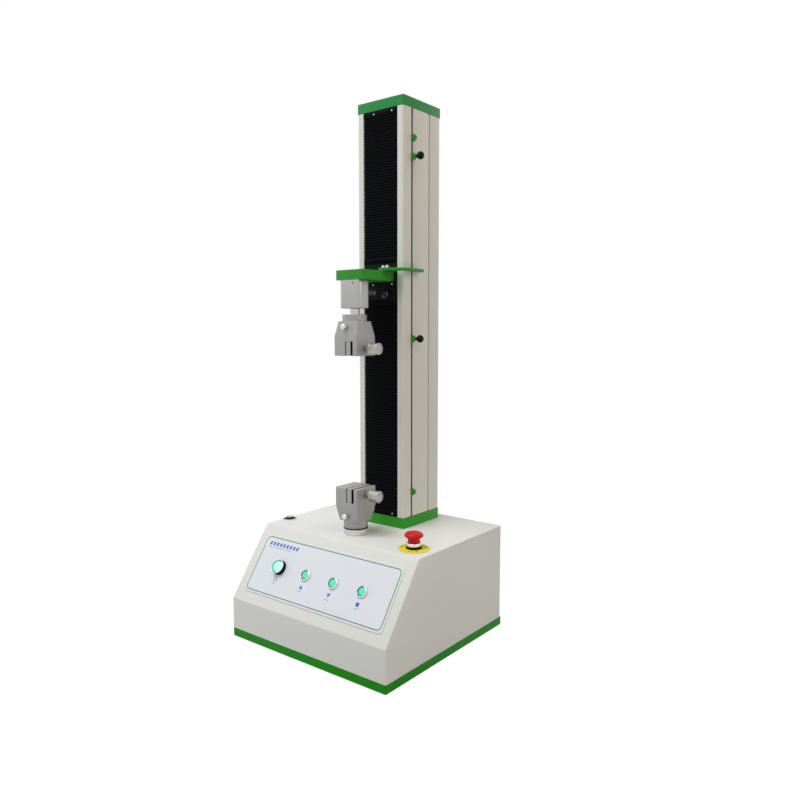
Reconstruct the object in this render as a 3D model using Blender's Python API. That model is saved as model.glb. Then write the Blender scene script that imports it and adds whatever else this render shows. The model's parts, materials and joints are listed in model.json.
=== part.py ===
"""Peel strength tester: a bench-top, single-column test stand for tapes and films.

A ball screw in the column drives a crosshead up and down. The specimen is held between the
upper grip, which hangs from a load cell under the crosshead arm, and the lower grip on the base.
Two stops on a limit rod, which runs in a slot of the column's right side, end the travel.

Metres, +Z up. The front faces -Y. The origin is on the bench, under the middle of the base.
"""

from math import asin, atan2, cos, hypot, pi, radians, sin, tau

import bmesh
import bpy
from mathutils import Matrix

# Clearances
GAP = 0.0003  # between two faces that touch on the real machine
RUN = 0.0004  # running clearance round a shaft, on the radius
OVERRUN = 0.010  # how far a cutter passes the face that it cuts

# Base: a folded cover with a sloping front, on a shallow tray
BASE_WIDTH = 0.400
BASE_DEPTH = 0.385
FOOT_HEIGHT = 0.005
FOOT_RADIUS = 0.018
FOOT_BORE = 0.006
FOOT_EDGE = 0.0012
FOOT_INSET = 0.045
TRAY_HEIGHT = 0.017
TRAY_FLANGE = 0.015
FRONT_HEIGHT = 0.084
BASE_HEIGHT = 0.219
SLOPE_RUN = 0.095
REAR_SET_IN = 0.004
SHEET = 0.002
EDGE_RADIUS = 0.0025
BEND_RADIUS = 0.009
DECK_THICKNESS = 0.008
DECK_HALF_WIDTH = 0.122
DECK_MARGIN = 0.020
DECK_CORNER = 0.006
LEG_SIZE = 0.022
LEG_INSET = 0.002

# Control panel on the slope
PLATE_MARGIN = 0.020
PLATE_LENGTH = 0.122
PLATE_THICKNESS = 0.0012
PLATE_START = 0.022
PLATE_CORNER = 0.008
KEY_LINE = 0.0825
KEY_PITCH = 0.072
POWER_BEZEL_RADIUS = 0.0139
POWER_BEZEL_HEIGHT = 0.0105
POWER_LENS_RADIUS = 0.0124
POWER_BARREL_RADIUS = 0.0110
KEY_BEZEL_RADIUS = 0.0122
KEY_BEZEL_HEIGHT = 0.0042
KEY_LENS_RADIUS = 0.0084
BARREL_RADIUS = 0.0078
BARREL_DEPTH = 0.026
KEY_TRAVEL = 0.0025
POWER_TRAVEL = 0.0035
BARREL_WALL = 0.0012
LENS_SKIRT = 0.003
LENS_RISE = 0.0012
LENS_EDGE = 0.002
POWER_LENS_CROWN = 0.003
STEM_SHORT = 0.005
BEZEL_STEP = 0.0008
BEZEL_FOOT = 0.0022
BEZEL_EDGE = 0.0012
KEY_WALL = 0.0016
KEY_LENS_CROWN = 0.0014

# Emergency stop button and spirit level on the top of the base
STOP_FROM_SIDE = 0.0452
STOP_FROM_SLOPE = 0.0438
STOP_LEGEND_RADIUS = 0.030
STOP_LEGEND_THICKNESS = 0.001
STOP_BARREL_RADIUS = 0.0110
STOP_COLLAR_RADIUS = 0.0150
STOP_COLLAR_HEIGHT = 0.0104
STOP_COLLAR_STEP = 0.001
STOP_SKIRT_RADIUS = 0.0114
STOP_HEAD_RADIUS = 0.018
STOP_HEAD_HEIGHT = 0.0205
STOP_HEAD_ROUND = 0.001
STOP_PLUNGER_RADIUS = 0.0060
STOP_TRAVEL = 0.004
STOP_HOOD_RISE = 0.0065
STOP_PLUNGER_SHORT = 0.003
STOP_BARREL_DEPTH = 0.024
STOP_SHELF_DEPTH = 0.0056
LEVEL_FROM_SIDE = 0.014
LEVEL_FROM_SLOPE = 0.052
LEVEL_SIZE = 0.020
LEVEL_RADIUS = 0.0075
LEVEL_HEIGHT = 0.005
LEVEL_FLANGE = 0.0016
LEVEL_CORNER = 0.003
LEVEL_EDGE = 0.0006
LEVEL_RIM = 0.0015

# Column
COLUMN_WIDTH = 0.118
COLUMN_DEPTH = 0.1243
COLUMN_FRONT = 0.0378
COLUMN_HEIGHT = 0.8585
COLUMN_CORNER = 0.005
COLLAR_HEIGHT = 0.0217
CAP_HEIGHT = 0.020
CAP_EDGE = 0.0012
RING_CORNER = 0.002
COLUMN_WALL = 0.0025
FACE_WIDTH = 0.0155
LIP_DEPTH = 0.020
LIP_THICKNESS = 0.0026
LIP_EDGE = 0.001
SKIN_EDGE = 0.002
BACK_CORNER = 0.005
LEFT_SEAM = 0.0006
PROFILE_DEPTH = 0.0254
SLOT_WIDTH = 0.0058
GROOVE_WIDTH = 0.003
BACK_COVER_DEPTH = 0.0366
BLOCK_HALF_WIDTH = 0.0415
FOOT_BLOCK_HEIGHT = 0.036
HEAD_BLOCK_HEIGHT = 0.024
HEAD_PLATE_THICKNESS = 0.008
SKIN_FLANGE = 0.012
BLOCK_FROM_BELLOWS = 0.005
BLOCK_DEPTH = 0.0917
SOCKET_BITE = 0.012
BACK_VENT_COUNT = 6
BACK_VENT_PITCH = 0.010
BACK_VENT_DROP = 0.060
BACK_VENT_HALF = 0.030
BACK_VENT_HEIGHT = 0.003
VENT_ROUND = 0.0014

# Drive
ROD_RADIUS = 0.008
ROD_X = 0.030
DRIVE_Y = 0.100
SCREW_RADIUS = 0.008
JOURNAL_RADIUS = 0.006
SHOULDER_RADIUS = 0.010
SHOULDER_HEIGHT = 0.005
SHAFT_EDGE = 0.001
COUPLING_RADIUS = 0.016
COUPLING_LENGTH = 0.034
COUPLING_GROOVE = 0.003
COUPLING_RISE = 0.006
COUPLING_ROOM = 0.004
MOTOR_SIZE = 0.060
MOTOR_LENGTH = 0.100
MOTOR_SHAFT_RADIUS = 0.004
MOTOR_SHAFT_BITE = 0.008
MOTOR_FLANGE = 0.012
MOTOR_STEP = 0.002
MOTOR_CORNER = 0.005
MOTOR_CAN_CORNER = 0.012

# Crosshead
AXIS_Y = -0.041
ARM_RISE = 0.501
ARM_WIDTH = 0.069
ARM_THICKNESS = 0.019
ARM_FRONT = -0.0566
ARM_CORNER = 0.0015
CARRIAGE_BELOW = 0.036
CARRIAGE_ABOVE = 0.018
CARRIAGE_DEPTH = 0.044
CARRIAGE_HALF_WIDTH = 0.042
NECK_HALF_WIDTH = 0.034
NUT_RADIUS = 0.018
NUT_LENGTH = 0.012
FRONT_PLATE_SUNK = 0.0007
FRONT_PLATE_THICKNESS = 0.016
TRIP_THICKNESS = 0.0057
TRIP_REACH = 0.075
TRIP_END = 0.0870
TRIP_START = 0.0225
TRIP_BAR = 0.029
TRIP_SET_BACK = 0.0065
TRIP_CORNER = 0.003
TRIP_CLEARANCE = 0.0035
TRIP_CORNER_OUT = 0.0135
ARM_BOLT_X = 0.014
ARM_BOLT_Y = 0.007
ARM_BOLT_BORE = 0.0048
ARM_BOLT_DEPTH = 0.006

# Bellows that close the column's front above and below the crosshead
PLEAT_PITCH = 0.012
PLEAT_DEPTH = 0.013
BELLOWS_SKIN = 0.0008
BELLOWS_FRAME = 0.010
BELLOWS_SIDE_GAP = 0.0010

# Load cell and what hangs from it
CELL_WIDTH = 0.0527
CELL_DEPTH = 0.0312
CELL_HEIGHT = 0.0545
CELL_CORNER = 0.0072
CELL_EDGE = 0.0012
CELL_HOLE_RADIUS = 0.0016
CELL_HOLE_X = 0.009
CELL_HOLE_DROP = 0.006
CELL_HOLE_DEPTH = 0.006
PLUG_X = 0.015
PLUG_DROP = 0.024
PLUG_RADIUS = 0.0085
SPIGOT_RADIUS = 0.0098
SPIGOT_LENGTH = 0.033
COUPLING_DROP = 0.0115
LEAD_RADIUS = 0.0028
PLUG_LENGTH = 0.015
PLUG_STEP = 0.0015
PLUG_NECK = 0.009
BOOT_END = 0.036
GLAND_LENGTH = 0.011
GLAND_NUT = 0.005
GLAND_RADIUS = 0.006
STUD_SLOT = 0.0024
STUD_SLOT_DEPTH = 0.004

# Grips: a forked body with a fixed cheek, a sliding jaw and a clamping screw
GRIP_LENGTH = 0.080
SHANK_RADIUS = 0.024
SHANK_LENGTH = 0.013
GRIP_TAPER = 0.029
GRIP_HALF_X = 0.0285
GRIP_HALF_Y = 0.0293
GRIP_CORNER = 0.0035
GRIP_WAIST = 0.0247
GRIP_WAIST_CORNER = 0.008
GRIP_EDGE = 0.0008
POCKET_DEPTH = 0.028
CHEEK_X = 0.0008
JAW_GAP = 0.0016
JAW_THICKNESS = 0.0118
JAW_BACK_GAP = 0.0062
JAW_TOOTH_PITCH = 0.003
JAW_TOOTH_DEPTH = 0.0005
JAW_EDGE = 0.001
CLAMP_SCREW_RADIUS = 0.005
CLAMP_SCREW_DROP = 0.014
CLAMP_KNOB_RADIUS = 0.0115
CLAMP_KNOB_LENGTH = 0.025
CLAMP_NECK = 0.0085
PIN_RADIUS = 0.006
PIN_Z = 0.024
PIN_OVERHANG = 0.012
PIN_SHOW = 0.0015
PIN_EDGE = 0.0006
RING_GROOVE = 0.001
RING_GAP = 0.0026
BASE_RING_HEIGHT = 0.0115
LOCK_RING_HEIGHT = 0.0009

# Limit rod with its stops
LIMIT_ROD_RADIUS = 0.003
LIMIT_BOSS_RADIUS = 0.006
LIMIT_BOSS_ROOM = 0.0005
LIMIT_COLLAR_RADIUS = 0.005
LIMIT_COLLAR_HEIGHT = 0.006
LIMIT_COLLAR_DROP = 0.012
TAB_ROUND = 0.003
TAB_THICKNESS = 0.0048
TAB_HEIGHT = 0.0125
TAB_REACH = 0.0095
UPPER_STOP_RISE = 0.2184
LOWER_STOP_DROP = 0.1333
UPPER_END_DROP = 0.0576
LOWER_END_RISE = 0.0513
THUMB_SCREW_RADIUS = 0.0014
THUMB_KNOB_RADIUS = 0.0078
THUMB_KNOB_LENGTH = 0.0175
THUMB_FOOT_RADIUS = 0.0024
LIMIT_ROD_PLAY = 0.003

# Power inlet on the back
INLET_FROM_SIDE = 0.070
INLET_RISE = 0.048
INLET_WIDTH = 0.050
INLET_HEIGHT = 0.028
SOCKET_WIDTH = 0.024
SOCKET_HEIGHT = 0.017
SOCKET_DEPTH = 0.017
SOCKET_ROUND = 0.001
INLET_CORNER = 0.006
INLET_WALL = 0.002
VENT_COUNT = 7
VENT_PITCH = 0.008
VENT_FROM_SIDE = 0.070
VENT_WIDTH = 0.003
VENT_RISE = 0.033
VENT_LENGTH = 0.045
BLADE_X = 0.007
BLADE_Z = 0.002
BLADE_HALF_WIDTH = 0.001
BLADE_HALF_HEIGHT = 0.002
BLADE_SUNK = 0.003

# Places worked out from the sizes above
HALF_WIDTH = BASE_WIDTH / 2
HALF_DEPTH = BASE_DEPTH / 2
TRAY_TOP = FOOT_HEIGHT + TRAY_HEIGHT
COVER_REAR = HALF_DEPTH - REAR_SET_IN
SLOPE_TOP_Y = -HALF_DEPTH + SLOPE_RUN
SLOPE_ANGLE = atan2(BASE_HEIGHT - FRONT_HEIGHT, SLOPE_RUN)
DECK_TOP = BASE_HEIGHT - SHEET - GAP
DECK_BOTTOM = DECK_TOP - DECK_THICKNESS
STOP_X = HALF_WIDTH - STOP_FROM_SIDE
STOP_Y = SLOPE_TOP_Y + STOP_FROM_SLOPE
LEVEL_X = -HALF_WIDTH + LEVEL_FROM_SIDE
LEVEL_Y = SLOPE_TOP_Y + LEVEL_FROM_SLOPE
INLET_X = HALF_WIDTH - INLET_FROM_SIDE
INLET_Z = TRAY_TOP + INLET_RISE
VENT_X = -HALF_WIDTH + VENT_FROM_SIDE
VENT_Z = TRAY_TOP + VENT_RISE

HALF_COLUMN = COLUMN_WIDTH / 2
COLUMN_BACK = COLUMN_FRONT + COLUMN_DEPTH
COLUMN_MID_Y = (COLUMN_FRONT + COLUMN_BACK) / 2
COLLAR_BOTTOM = BASE_HEIGHT + GAP
COLLAR_TOP = COLLAR_BOTTOM + COLLAR_HEIGHT
COLUMN_TOP = BASE_HEIGHT + COLUMN_HEIGHT
CAP_BOTTOM = COLUMN_TOP - CAP_HEIGHT
SKIN_BOTTOM = COLLAR_TOP + GAP
SKIN_TOP = CAP_BOTTOM - GAP
INNER_HALF = HALF_COLUMN - COLUMN_WALL - GAP
LIP_X = HALF_COLUMN - FACE_WIDTH
SLOT_FRONT = COLUMN_FRONT + PROFILE_DEPTH
SLOT_BACK = SLOT_FRONT + SLOT_WIDTH
SLOT_MID = (SLOT_FRONT + SLOT_BACK) / 2
BACK_COVER_FRONT = COLUMN_BACK - BACK_COVER_DEPTH
SIDE_COVER_BACK = BACK_COVER_FRONT - GROOVE_WIDTH
BLOCK_FRONT = COLUMN_FRONT + PLEAT_DEPTH + BLOCK_FROM_BELLOWS
BLOCK_BACK = BLOCK_FRONT + BLOCK_DEPTH
FOOT_BLOCK_TOP = COLLAR_TOP + FOOT_BLOCK_HEIGHT
HEAD_BLOCK_BOTTOM = CAP_BOTTOM - HEAD_BLOCK_HEIGHT

COUPLING_BOTTOM = DECK_TOP + COUPLING_RISE
COUPLING_TOP = COUPLING_BOTTOM + COUPLING_LENGTH
BEARING_SEAT = COUPLING_TOP + COUPLING_ROOM

ARM_Z = BASE_HEIGHT + ARM_RISE
ARM_TOP = ARM_Z + ARM_THICKNESS
TRIP_Z = ARM_TOP + GAP
TRIP_TOP = TRIP_Z + TRIP_THICKNESS
CARRIAGE_BOTTOM = ARM_Z - CARRIAGE_BELOW
CARRIAGE_TOP = ARM_TOP + CARRIAGE_ABOVE
FRONT_PLATE_Y = COLUMN_FRONT + FRONT_PLATE_SUNK
FRONT_PLATE_BACK = FRONT_PLATE_Y + FRONT_PLATE_THICKNESS
BELLOWS_HALF = LIP_X - BELLOWS_SIDE_GAP

CELL_TOP = ARM_Z - GAP
CELL_BOTTOM = CELL_TOP - CELL_HEIGHT
CELL_Y = ARM_FRONT + CELL_DEPTH / 2
UPPER_GRIP_Z = CELL_BOTTOM - COUPLING_DROP
ADAPTOR_TOP = BASE_HEIGHT + GAP + BASE_RING_HEIGHT + RING_GAP + LOCK_RING_HEIGHT
LOWER_GRIP_Z = ADAPTOR_TOP + GAP

JAW_X = CHEEK_X + JAW_GAP
POCKET_END = JAW_X + JAW_THICKNESS + JAW_BACK_GAP
CLAMP_Z = GRIP_LENGTH - CLAMP_SCREW_DROP

LIMIT_ROD_X = HALF_COLUMN - COLUMN_WALL - LIMIT_BOSS_RADIUS - LIMIT_BOSS_ROOM
TAB_END = HALF_COLUMN + TAB_REACH
UPPER_STOP_Z = TRIP_TOP + UPPER_STOP_RISE
LOWER_STOP_Z = TRIP_Z - LOWER_STOP_DROP
UPPER_END_Z = SKIN_TOP - UPPER_END_DROP
LOWER_END_Z = SKIN_BOTTOM + LOWER_END_RISE

MATERIALS = {
    "white_paint": ((0.80, 0.81, 0.79), 0.42, 0.0),
    "column_paint": ((0.72, 0.71, 0.67), 0.45, 0.0),
    "green_paint": ((0.05, 0.33, 0.06), 0.38, 0.0),
    "bellows_fabric": ((0.012, 0.013, 0.015), 0.70, 0.0),
    "grip_aluminium": ((0.46, 0.46, 0.46), 0.38, 0.9),
    "satin_aluminium": ((0.62, 0.62, 0.61), 0.32, 0.9),
    "bright_steel": ((0.66, 0.66, 0.66), 0.18, 1.0),
    "dark_steel": ((0.10, 0.10, 0.11), 0.40, 0.8),
    "panel_film": ((0.66, 0.70, 0.74), 0.35, 0.0),
    "chrome": ((0.85, 0.85, 0.86), 0.08, 1.0),
    "green_lens": ((0.10, 0.72, 0.45), 0.15, 0.0),
    "black_plastic": ((0.02, 0.02, 0.02), 0.42, 0.0),
    "red_plastic": ((0.62, 0.02, 0.03), 0.30, 0.0),
    "yellow_plastic": ((0.80, 0.74, 0.04), 0.45, 0.0),
    "rubber": ((0.03, 0.03, 0.03), 0.80, 0.0),
    "nut_steel": ((0.40, 0.40, 0.41), 0.35, 1.0),
}


def clear_scene():
    for thing in list(bpy.data.objects):
        bpy.data.objects.remove(thing, do_unlink=True)


def material(name):
    """The named finish, as a Principled material made once."""
    made = bpy.data.materials.get(name)
    if made is None:
        color, roughness, metallic = MATERIALS[name]
        made = bpy.data.materials.new(name)
        made.use_nodes = True
        shader = made.node_tree.nodes["Principled BSDF"]
        shader.inputs["Base Color"].default_value = (*color, 1.0)
        shader.inputs["Roughness"].default_value = roughness
        shader.inputs["Metallic"].default_value = metallic
        made.diffuse_color = (*color, 1.0)
    return made


def add(name, bm, finish, place=(0, 0, 0), turn=(0, 0, 0), parent=None):
    """An object from a bmesh, placed by its location and rotation, under its parent if it has one."""
    mesh = bpy.data.meshes.new(name)
    bmesh.ops.recalc_face_normals(bm, faces=bm.faces)
    bm.to_mesh(mesh)
    bm.free()
    mesh.shade_smooth()
    mesh.set_sharp_from_angle(angle=radians(30))
    thing = bpy.data.objects.new(name, mesh)
    bpy.context.scene.collection.objects.link(thing)
    thing.location = place
    thing.rotation_euler = turn
    thing.parent = parent
    if finish:
        mesh.materials.append(material(finish))
    return thing


def frame(name, place, turn=(0, 0, 0), parent=None):
    """An empty that carries pieces on a common axis or plane."""
    empty = bpy.data.objects.new(name, None)
    bpy.context.scene.collection.objects.link(empty)
    empty.location = place
    empty.rotation_euler = turn
    empty.parent = parent
    return empty


def boolean(target, name, bm, operation, place=(0, 0, 0), turn=(0, 0, 0)):
    """Cuts a hidden shape out of the target, or adds it. The shape sits in the target's own frame."""
    tool = add(name, bm, None, place, turn, target)
    tool.hide_render = True
    tool.display_type = "WIRE"
    step = target.modifiers.new(name, "BOOLEAN")
    step.operation = operation
    step.solver = "EXACT"
    step.object = tool


def cut(target, name, bm, place=(0, 0, 0), turn=(0, 0, 0)):
    boolean(target, name, bm, "DIFFERENCE", place, turn)


def weld(target, name, bm, place=(0, 0, 0), turn=(0, 0, 0)):
    boolean(target, name, bm, "UNION", place, turn)


def rounded(corners, steps=5):
    """An outline from (x, y, radius) corners: each corner with a radius becomes a tangent arc."""
    outline = []
    for i, (x, y, radius) in enumerate(corners):
        if radius <= 0:
            outline.append((x, y))
            continue
        ax, ay = corners[i - 1][0] - x, corners[i - 1][1] - y
        bx, by = corners[(i + 1) % len(corners)][0] - x, corners[(i + 1) % len(corners)][1] - y
        la, lb = hypot(ax, ay), hypot(bx, by)
        ax, ay, bx, by = ax / la, ay / la, bx / lb, by / lb
        half = atan2(abs(ax * by - ay * bx), ax * bx + ay * by) / 2
        side = 1 if ax * by - ay * bx > 0 else -1
        setback = radius * cos(half) / sin(half)
        mx, my = ax + bx, ay + by
        lm = hypot(mx, my)
        cx, cy = x + mx / lm * radius / sin(half), y + my / lm * radius / sin(half)
        start = atan2(y + ay * setback - cy, x + ax * setback - cx)
        sweep = (2 * half - pi) * side
        for k in range(steps + 1):
            angle = start + sweep * k / steps
            outline.append((cx + radius * cos(angle), cy + radius * sin(angle)))
    return outline


def block_outline(x0, x1, y0, y1, radius=0.0, steps=4):
    """A rectangle between its corners, with equal corner radii."""
    corners = [(x0, y0, radius), (x1, y0, radius), (x1, y1, radius), (x0, y1, radius)]
    return rounded(corners, steps)


def extruded(outline, z0, z1, bm=None):
    """A prism: the outline lifted from z0 to z1. It joins a given bmesh, or starts one."""
    bm = bm or bmesh.new()
    face = bm.faces.new([bm.verts.new((x, y, z0)) for x, y in outline])
    lifted = bmesh.ops.extrude_face_region(bm, geom=[face])
    top = [v for v in lifted["geom"] if isinstance(v, bmesh.types.BMVert)]
    bmesh.ops.translate(bm, verts=top, vec=(0, 0, z1 - z0))
    return bm


def swept_x(outline, x0, x1, bm=None):
    """A prism along X: a (y, z) outline carried from x0 to x1."""
    bm = bm or bmesh.new()
    old = set(bm.verts)
    extruded(outline, x0, x1, bm)
    new = [v for v in bm.verts if v not in old]
    laid = Matrix(((0, 0, 1, 0), (1, 0, 0, 0), (0, 1, 0, 0), (0, 0, 0, 1)))
    bmesh.ops.transform(bm, matrix=laid, verts=new)
    return bm


def swept_y(outline, y0, y1, bm=None):
    """A prism along Y: an (x, z) outline carried from y0 to y1."""
    bm = bm or bmesh.new()
    old = set(bm.verts)
    extruded(outline, y0, y1, bm)
    new = [v for v in bm.verts if v not in old]
    laid = Matrix(((1, 0, 0, 0), (0, 0, 1, 0), (0, 1, 0, 0), (0, 0, 0, 1)))
    bmesh.ops.transform(bm, matrix=laid, verts=new)
    return bm


def box(x0, x1, y0, y1, z0, z1, bm=None):
    return extruded(block_outline(x0, x1, y0, y1), z0, z1, bm)


def turned(profile, steps=24, ring=False):
    """A turned piece: (radius, z) points spun about Z. A ring's profile closes on itself."""
    bm = bmesh.new()
    verts = [bm.verts.new((r, 0, z)) for r, z in profile]
    edges = [bm.edges.new(pair) for pair in zip(verts, verts[1:])]
    if ring:
        edges.append(bm.edges.new((verts[-1], verts[0])))
    bmesh.ops.spin(bm, geom=verts + edges, cent=(0, 0, 0), axis=(0, 0, 1), angle=tau, steps=steps)
    bmesh.ops.remove_doubles(bm, verts=bm.verts, dist=1e-6)
    return bm


def rod(radius, z0, z1, steps=16, x=0.0, y=0.0, bm=None):
    """A plain round bar along Z, for shafts and for the holes that they need."""
    circle = [(x + radius * cos(tau * k / steps), y + radius * sin(tau * k / steps)) for k in range(steps)]
    return extruded(circle, z0, z1, bm)


def lofted(sections):
    """A closed skin through outlines of equal length, each given as (z, points)."""
    bm = bmesh.new()
    rings = [[bm.verts.new((x, y, z)) for x, y in points] for z, points in sections]
    for low, high in zip(rings, rings[1:]):
        for k in range(len(low)):
            n = (k + 1) % len(low)
            bm.faces.new((low[k], low[n], high[n], high[k]))
    bm.faces.new(rings[0][::-1])
    bm.faces.new(rings[-1])
    return bm


def square_section(half_x, half_y, radius, steps=4):
    return block_outline(-half_x, half_x, -half_y, half_y, radius, steps)


def offset_corners(corners, distance):
    """Corners of a counter-clockwise outline moved inwards by a distance, radii with them."""
    moved = []
    for i, (x, y, radius) in enumerate(corners):
        px, py, _ = corners[i - 1]
        nx, ny, _ = corners[(i + 1) % len(corners)]
        ux, uy = (x - px) / hypot(x - px, y - py), (y - py) / hypot(x - px, y - py)
        vx, vy = (nx - x) / hypot(nx - x, ny - y), (ny - y) / hypot(nx - x, ny - y)
        step = distance / ((1 + ux * vx + uy * vy) or 1.0)
        moved.append((x - step * (uy + vy), y + step * (ux + vx), max(radius - distance, 0)))
    return moved


# Base


def feet():
    sunk = FOOT_HEIGHT / 2
    profile = [
        (0, sunk), (FOOT_BORE, sunk), (FOOT_BORE, 0), (FOOT_RADIUS - FOOT_EDGE, 0),
        (FOOT_RADIUS, FOOT_EDGE), (FOOT_RADIUS - FOOT_EDGE, FOOT_HEIGHT - GAP), (0, FOOT_HEIGHT - GAP),
    ]
    for y, row in ((-HALF_DEPTH + FOOT_INSET, "front"), (HALF_DEPTH - FOOT_INSET, "rear")):
        for x, side in ((-HALF_WIDTH + FOOT_INSET, "left"), (HALF_WIDTH - FOOT_INSET, "right")):
            add(f"foot_{row}_{side}", turned(profile, 16), "rubber", (x, y, 0))


def base_tray():
    """A shallow folded tray, whose top edge turns inwards and carries the cover."""
    outline = block_outline(-HALF_WIDTH, HALF_WIDTH, -HALF_DEPTH, HALF_DEPTH, EDGE_RADIUS)
    tray = add("base_tray", extruded(outline, FOOT_HEIGHT, TRAY_TOP), "green_paint")
    inner_x, inner_y = HALF_WIDTH - SHEET, HALF_DEPTH - SHEET
    open_x, open_y = HALF_WIDTH - TRAY_FLANGE, HALF_DEPTH - TRAY_FLANGE
    cut(tray, "tray_inside", box(-inner_x, inner_x, -inner_y, inner_y, FOOT_HEIGHT + SHEET, TRAY_TOP - SHEET))
    cut(tray, "tray_mouth", box(-open_x, open_x, -open_y, open_y, TRAY_TOP - 2 * SHEET, TRAY_TOP + SHEET))


def cover_corners():
    """The cover's side view as (y, z, radius), from the front's foot round to the rear's."""
    return [
        (COVER_REAR, TRAY_TOP + GAP, 0),
        (COVER_REAR, BASE_HEIGHT, EDGE_RADIUS),
        (SLOPE_TOP_Y, BASE_HEIGHT, BEND_RADIUS),
        (-HALF_DEPTH, FRONT_HEIGHT, BEND_RADIUS / 2),
        (-HALF_DEPTH, TRAY_TOP + GAP, 0),
    ]


def rounded_shell_body():
    """The cover's solid outer form: the side view carried across, with its side edges rounded."""
    bm = swept_x(rounded(cover_corners(), 4), -HALF_WIDTH, HALF_WIDTH)
    foot = TRAY_TOP + GAP
    rims = [
        e for e in bm.edges
        if abs(abs(e.verts[0].co.x) - HALF_WIDTH) < 1e-6 and abs(e.verts[0].co.x - e.verts[1].co.x) < 1e-6
        and not (abs(e.verts[0].co.z - foot) < 1e-6 and abs(e.verts[1].co.z - foot) < 1e-6)
    ]
    bmesh.ops.bevel(bm, geom=rims, offset=EDGE_RADIUS, segments=2, profile=0.5, affect="EDGES")
    return bm


def base_cover():
    cover = add("base_cover", rounded_shell_body(), "white_paint")
    inside = offset_corners(cover_corners(), SHEET)
    floor = TRAY_TOP - 2 * SHEET
    inside = [(y, floor if i in (0, 4) else z, r) for i, (y, z, r) in enumerate(inside)]
    cut(cover, "cover_inside", swept_x(rounded(inside, 4), -HALF_WIDTH + SHEET, HALF_WIDTH - SHEET))
    through = (BASE_HEIGHT - 3 * SHEET, BASE_HEIGHT + SHEET)
    opening = INNER_HALF + 2 * GAP
    reach = inner_depth() + 2 * GAP
    top = box(-opening, opening, COLUMN_MID_Y - reach, COLUMN_MID_Y + reach, *through)
    rod(SPIGOT_RADIUS + SHEET, *through, x=0, y=AXIS_Y, bm=top)
    rod(STOP_BARREL_RADIUS + GAP, *through, x=STOP_X, y=STOP_Y, bm=top)
    cut(cover, "cover_top_holes", top)
    slope = bmesh.new()
    for x, radius in key_places():
        rod(radius + GAP, -3 * SHEET, SHEET, x=x, y=KEY_LINE, bm=slope)
    cut(cover, "cover_key_holes", slope, (0, -HALF_DEPTH, FRONT_HEIGHT), (SLOPE_ANGLE, 0, 0))
    cut(cover, "cover_rear_holes", rear_holes(COVER_REAR - 2 * SHEET, COVER_REAR + SHEET))


def rear_holes(y0, y1):
    """The inlet's cut-out and a row of upright vents in the cover's back."""
    half_x, half_z = SOCKET_WIDTH / 2 + INLET_WALL + GAP, SOCKET_HEIGHT / 2 + INLET_WALL + GAP
    bm = box(INLET_X - half_x, INLET_X + half_x, y0, y1, INLET_Z - half_z, INLET_Z + half_z)
    for k in range(VENT_COUNT):
        x = VENT_X + (k - (VENT_COUNT - 1) / 2) * VENT_PITCH - VENT_WIDTH / 2
        slot = block_outline(x, x + VENT_WIDTH, VENT_Z, VENT_Z + VENT_LENGTH, VENT_ROUND, 1)
        swept_y(slot, y0, y1, bm)
    return bm


def base_deck():
    """The steel deck under the cover's top, on four legs: it carries the column, the grip and the motor."""
    front, back = SLOPE_TOP_Y + DECK_MARGIN, COVER_REAR - DECK_MARGIN
    outline = block_outline(-DECK_HALF_WIDTH, DECK_HALF_WIDTH, front, back, DECK_CORNER)
    deck = add("base_deck", extruded(outline, DECK_BOTTOM, DECK_TOP), "dark_steel")
    legs = bmesh.new()
    foot = FOOT_HEIGHT + SHEET + GAP
    for x0 in (-DECK_HALF_WIDTH + LEG_INSET, DECK_HALF_WIDTH - LEG_INSET - LEG_SIZE):
        for y0 in (front + LEG_INSET, back - LEG_INSET - LEG_SIZE):
            box(x0, x0 + LEG_SIZE, y0, y0 + LEG_SIZE, foot, DECK_TOP - DECK_THICKNESS / 2, legs)
    weld(deck, "deck_legs", legs)
    low, high = DECK_BOTTOM - OVERRUN, DECK_TOP + OVERRUN
    holes = rod(COUPLING_RADIUS + COUPLING_ROOM, low, high, 20, 0, DRIVE_Y)
    rod(SPIGOT_RADIUS + RUN, low, high, 20, 0, AXIS_Y, holes)
    cut(deck, "deck_holes", holes)


def power_inlet():
    """A panel socket with three blades in its recess, held in the cover's rear."""
    inlet = frame("inlet_frame", (INLET_X, COVER_REAR, INLET_Z))
    flange = square_section(INLET_WIDTH / 2, INLET_HEIGHT / 2, INLET_CORNER, 3)
    body = add("power_inlet", swept_y(flange, GAP, REAR_SET_IN - GAP), "black_plastic", parent=inlet)
    half_x, half_z = SOCKET_WIDTH / 2 + INLET_WALL, SOCKET_HEIGHT / 2 + INLET_WALL
    depth = SOCKET_DEPTH + 2 * INLET_WALL
    weld(body, "inlet_barrel", box(-half_x, half_x, -depth, 2 * GAP, -half_z, half_z))
    wide, high = SOCKET_WIDTH / 2, SOCKET_HEIGHT / 2
    upper = [(wide, high / 2), (wide / 2, high), (-wide / 2, high), (-wide, high / 2)]
    corners = [(-wide, -high), (wide, -high)] + upper
    mouth = rounded([(x, z, SOCKET_ROUND) for x, z in corners], 2)
    floor = REAR_SET_IN - SOCKET_DEPTH
    cut(body, "inlet_recess", swept_y(mouth, floor, REAR_SET_IN + OVERRUN))
    blades = bmesh.new()
    root, tip = floor - INLET_WALL, REAR_SET_IN - BLADE_SUNK
    half, up = BLADE_HALF_WIDTH, BLADE_HALF_HEIGHT
    for x, z in ((-BLADE_X, -BLADE_Z), (BLADE_X, -BLADE_Z), (0, BLADE_Z)):
        box(x - half, x + half, root, tip, z - up, z + up, blades)
    weld(body, "inlet_blades", blades)


# Control panel


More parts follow.
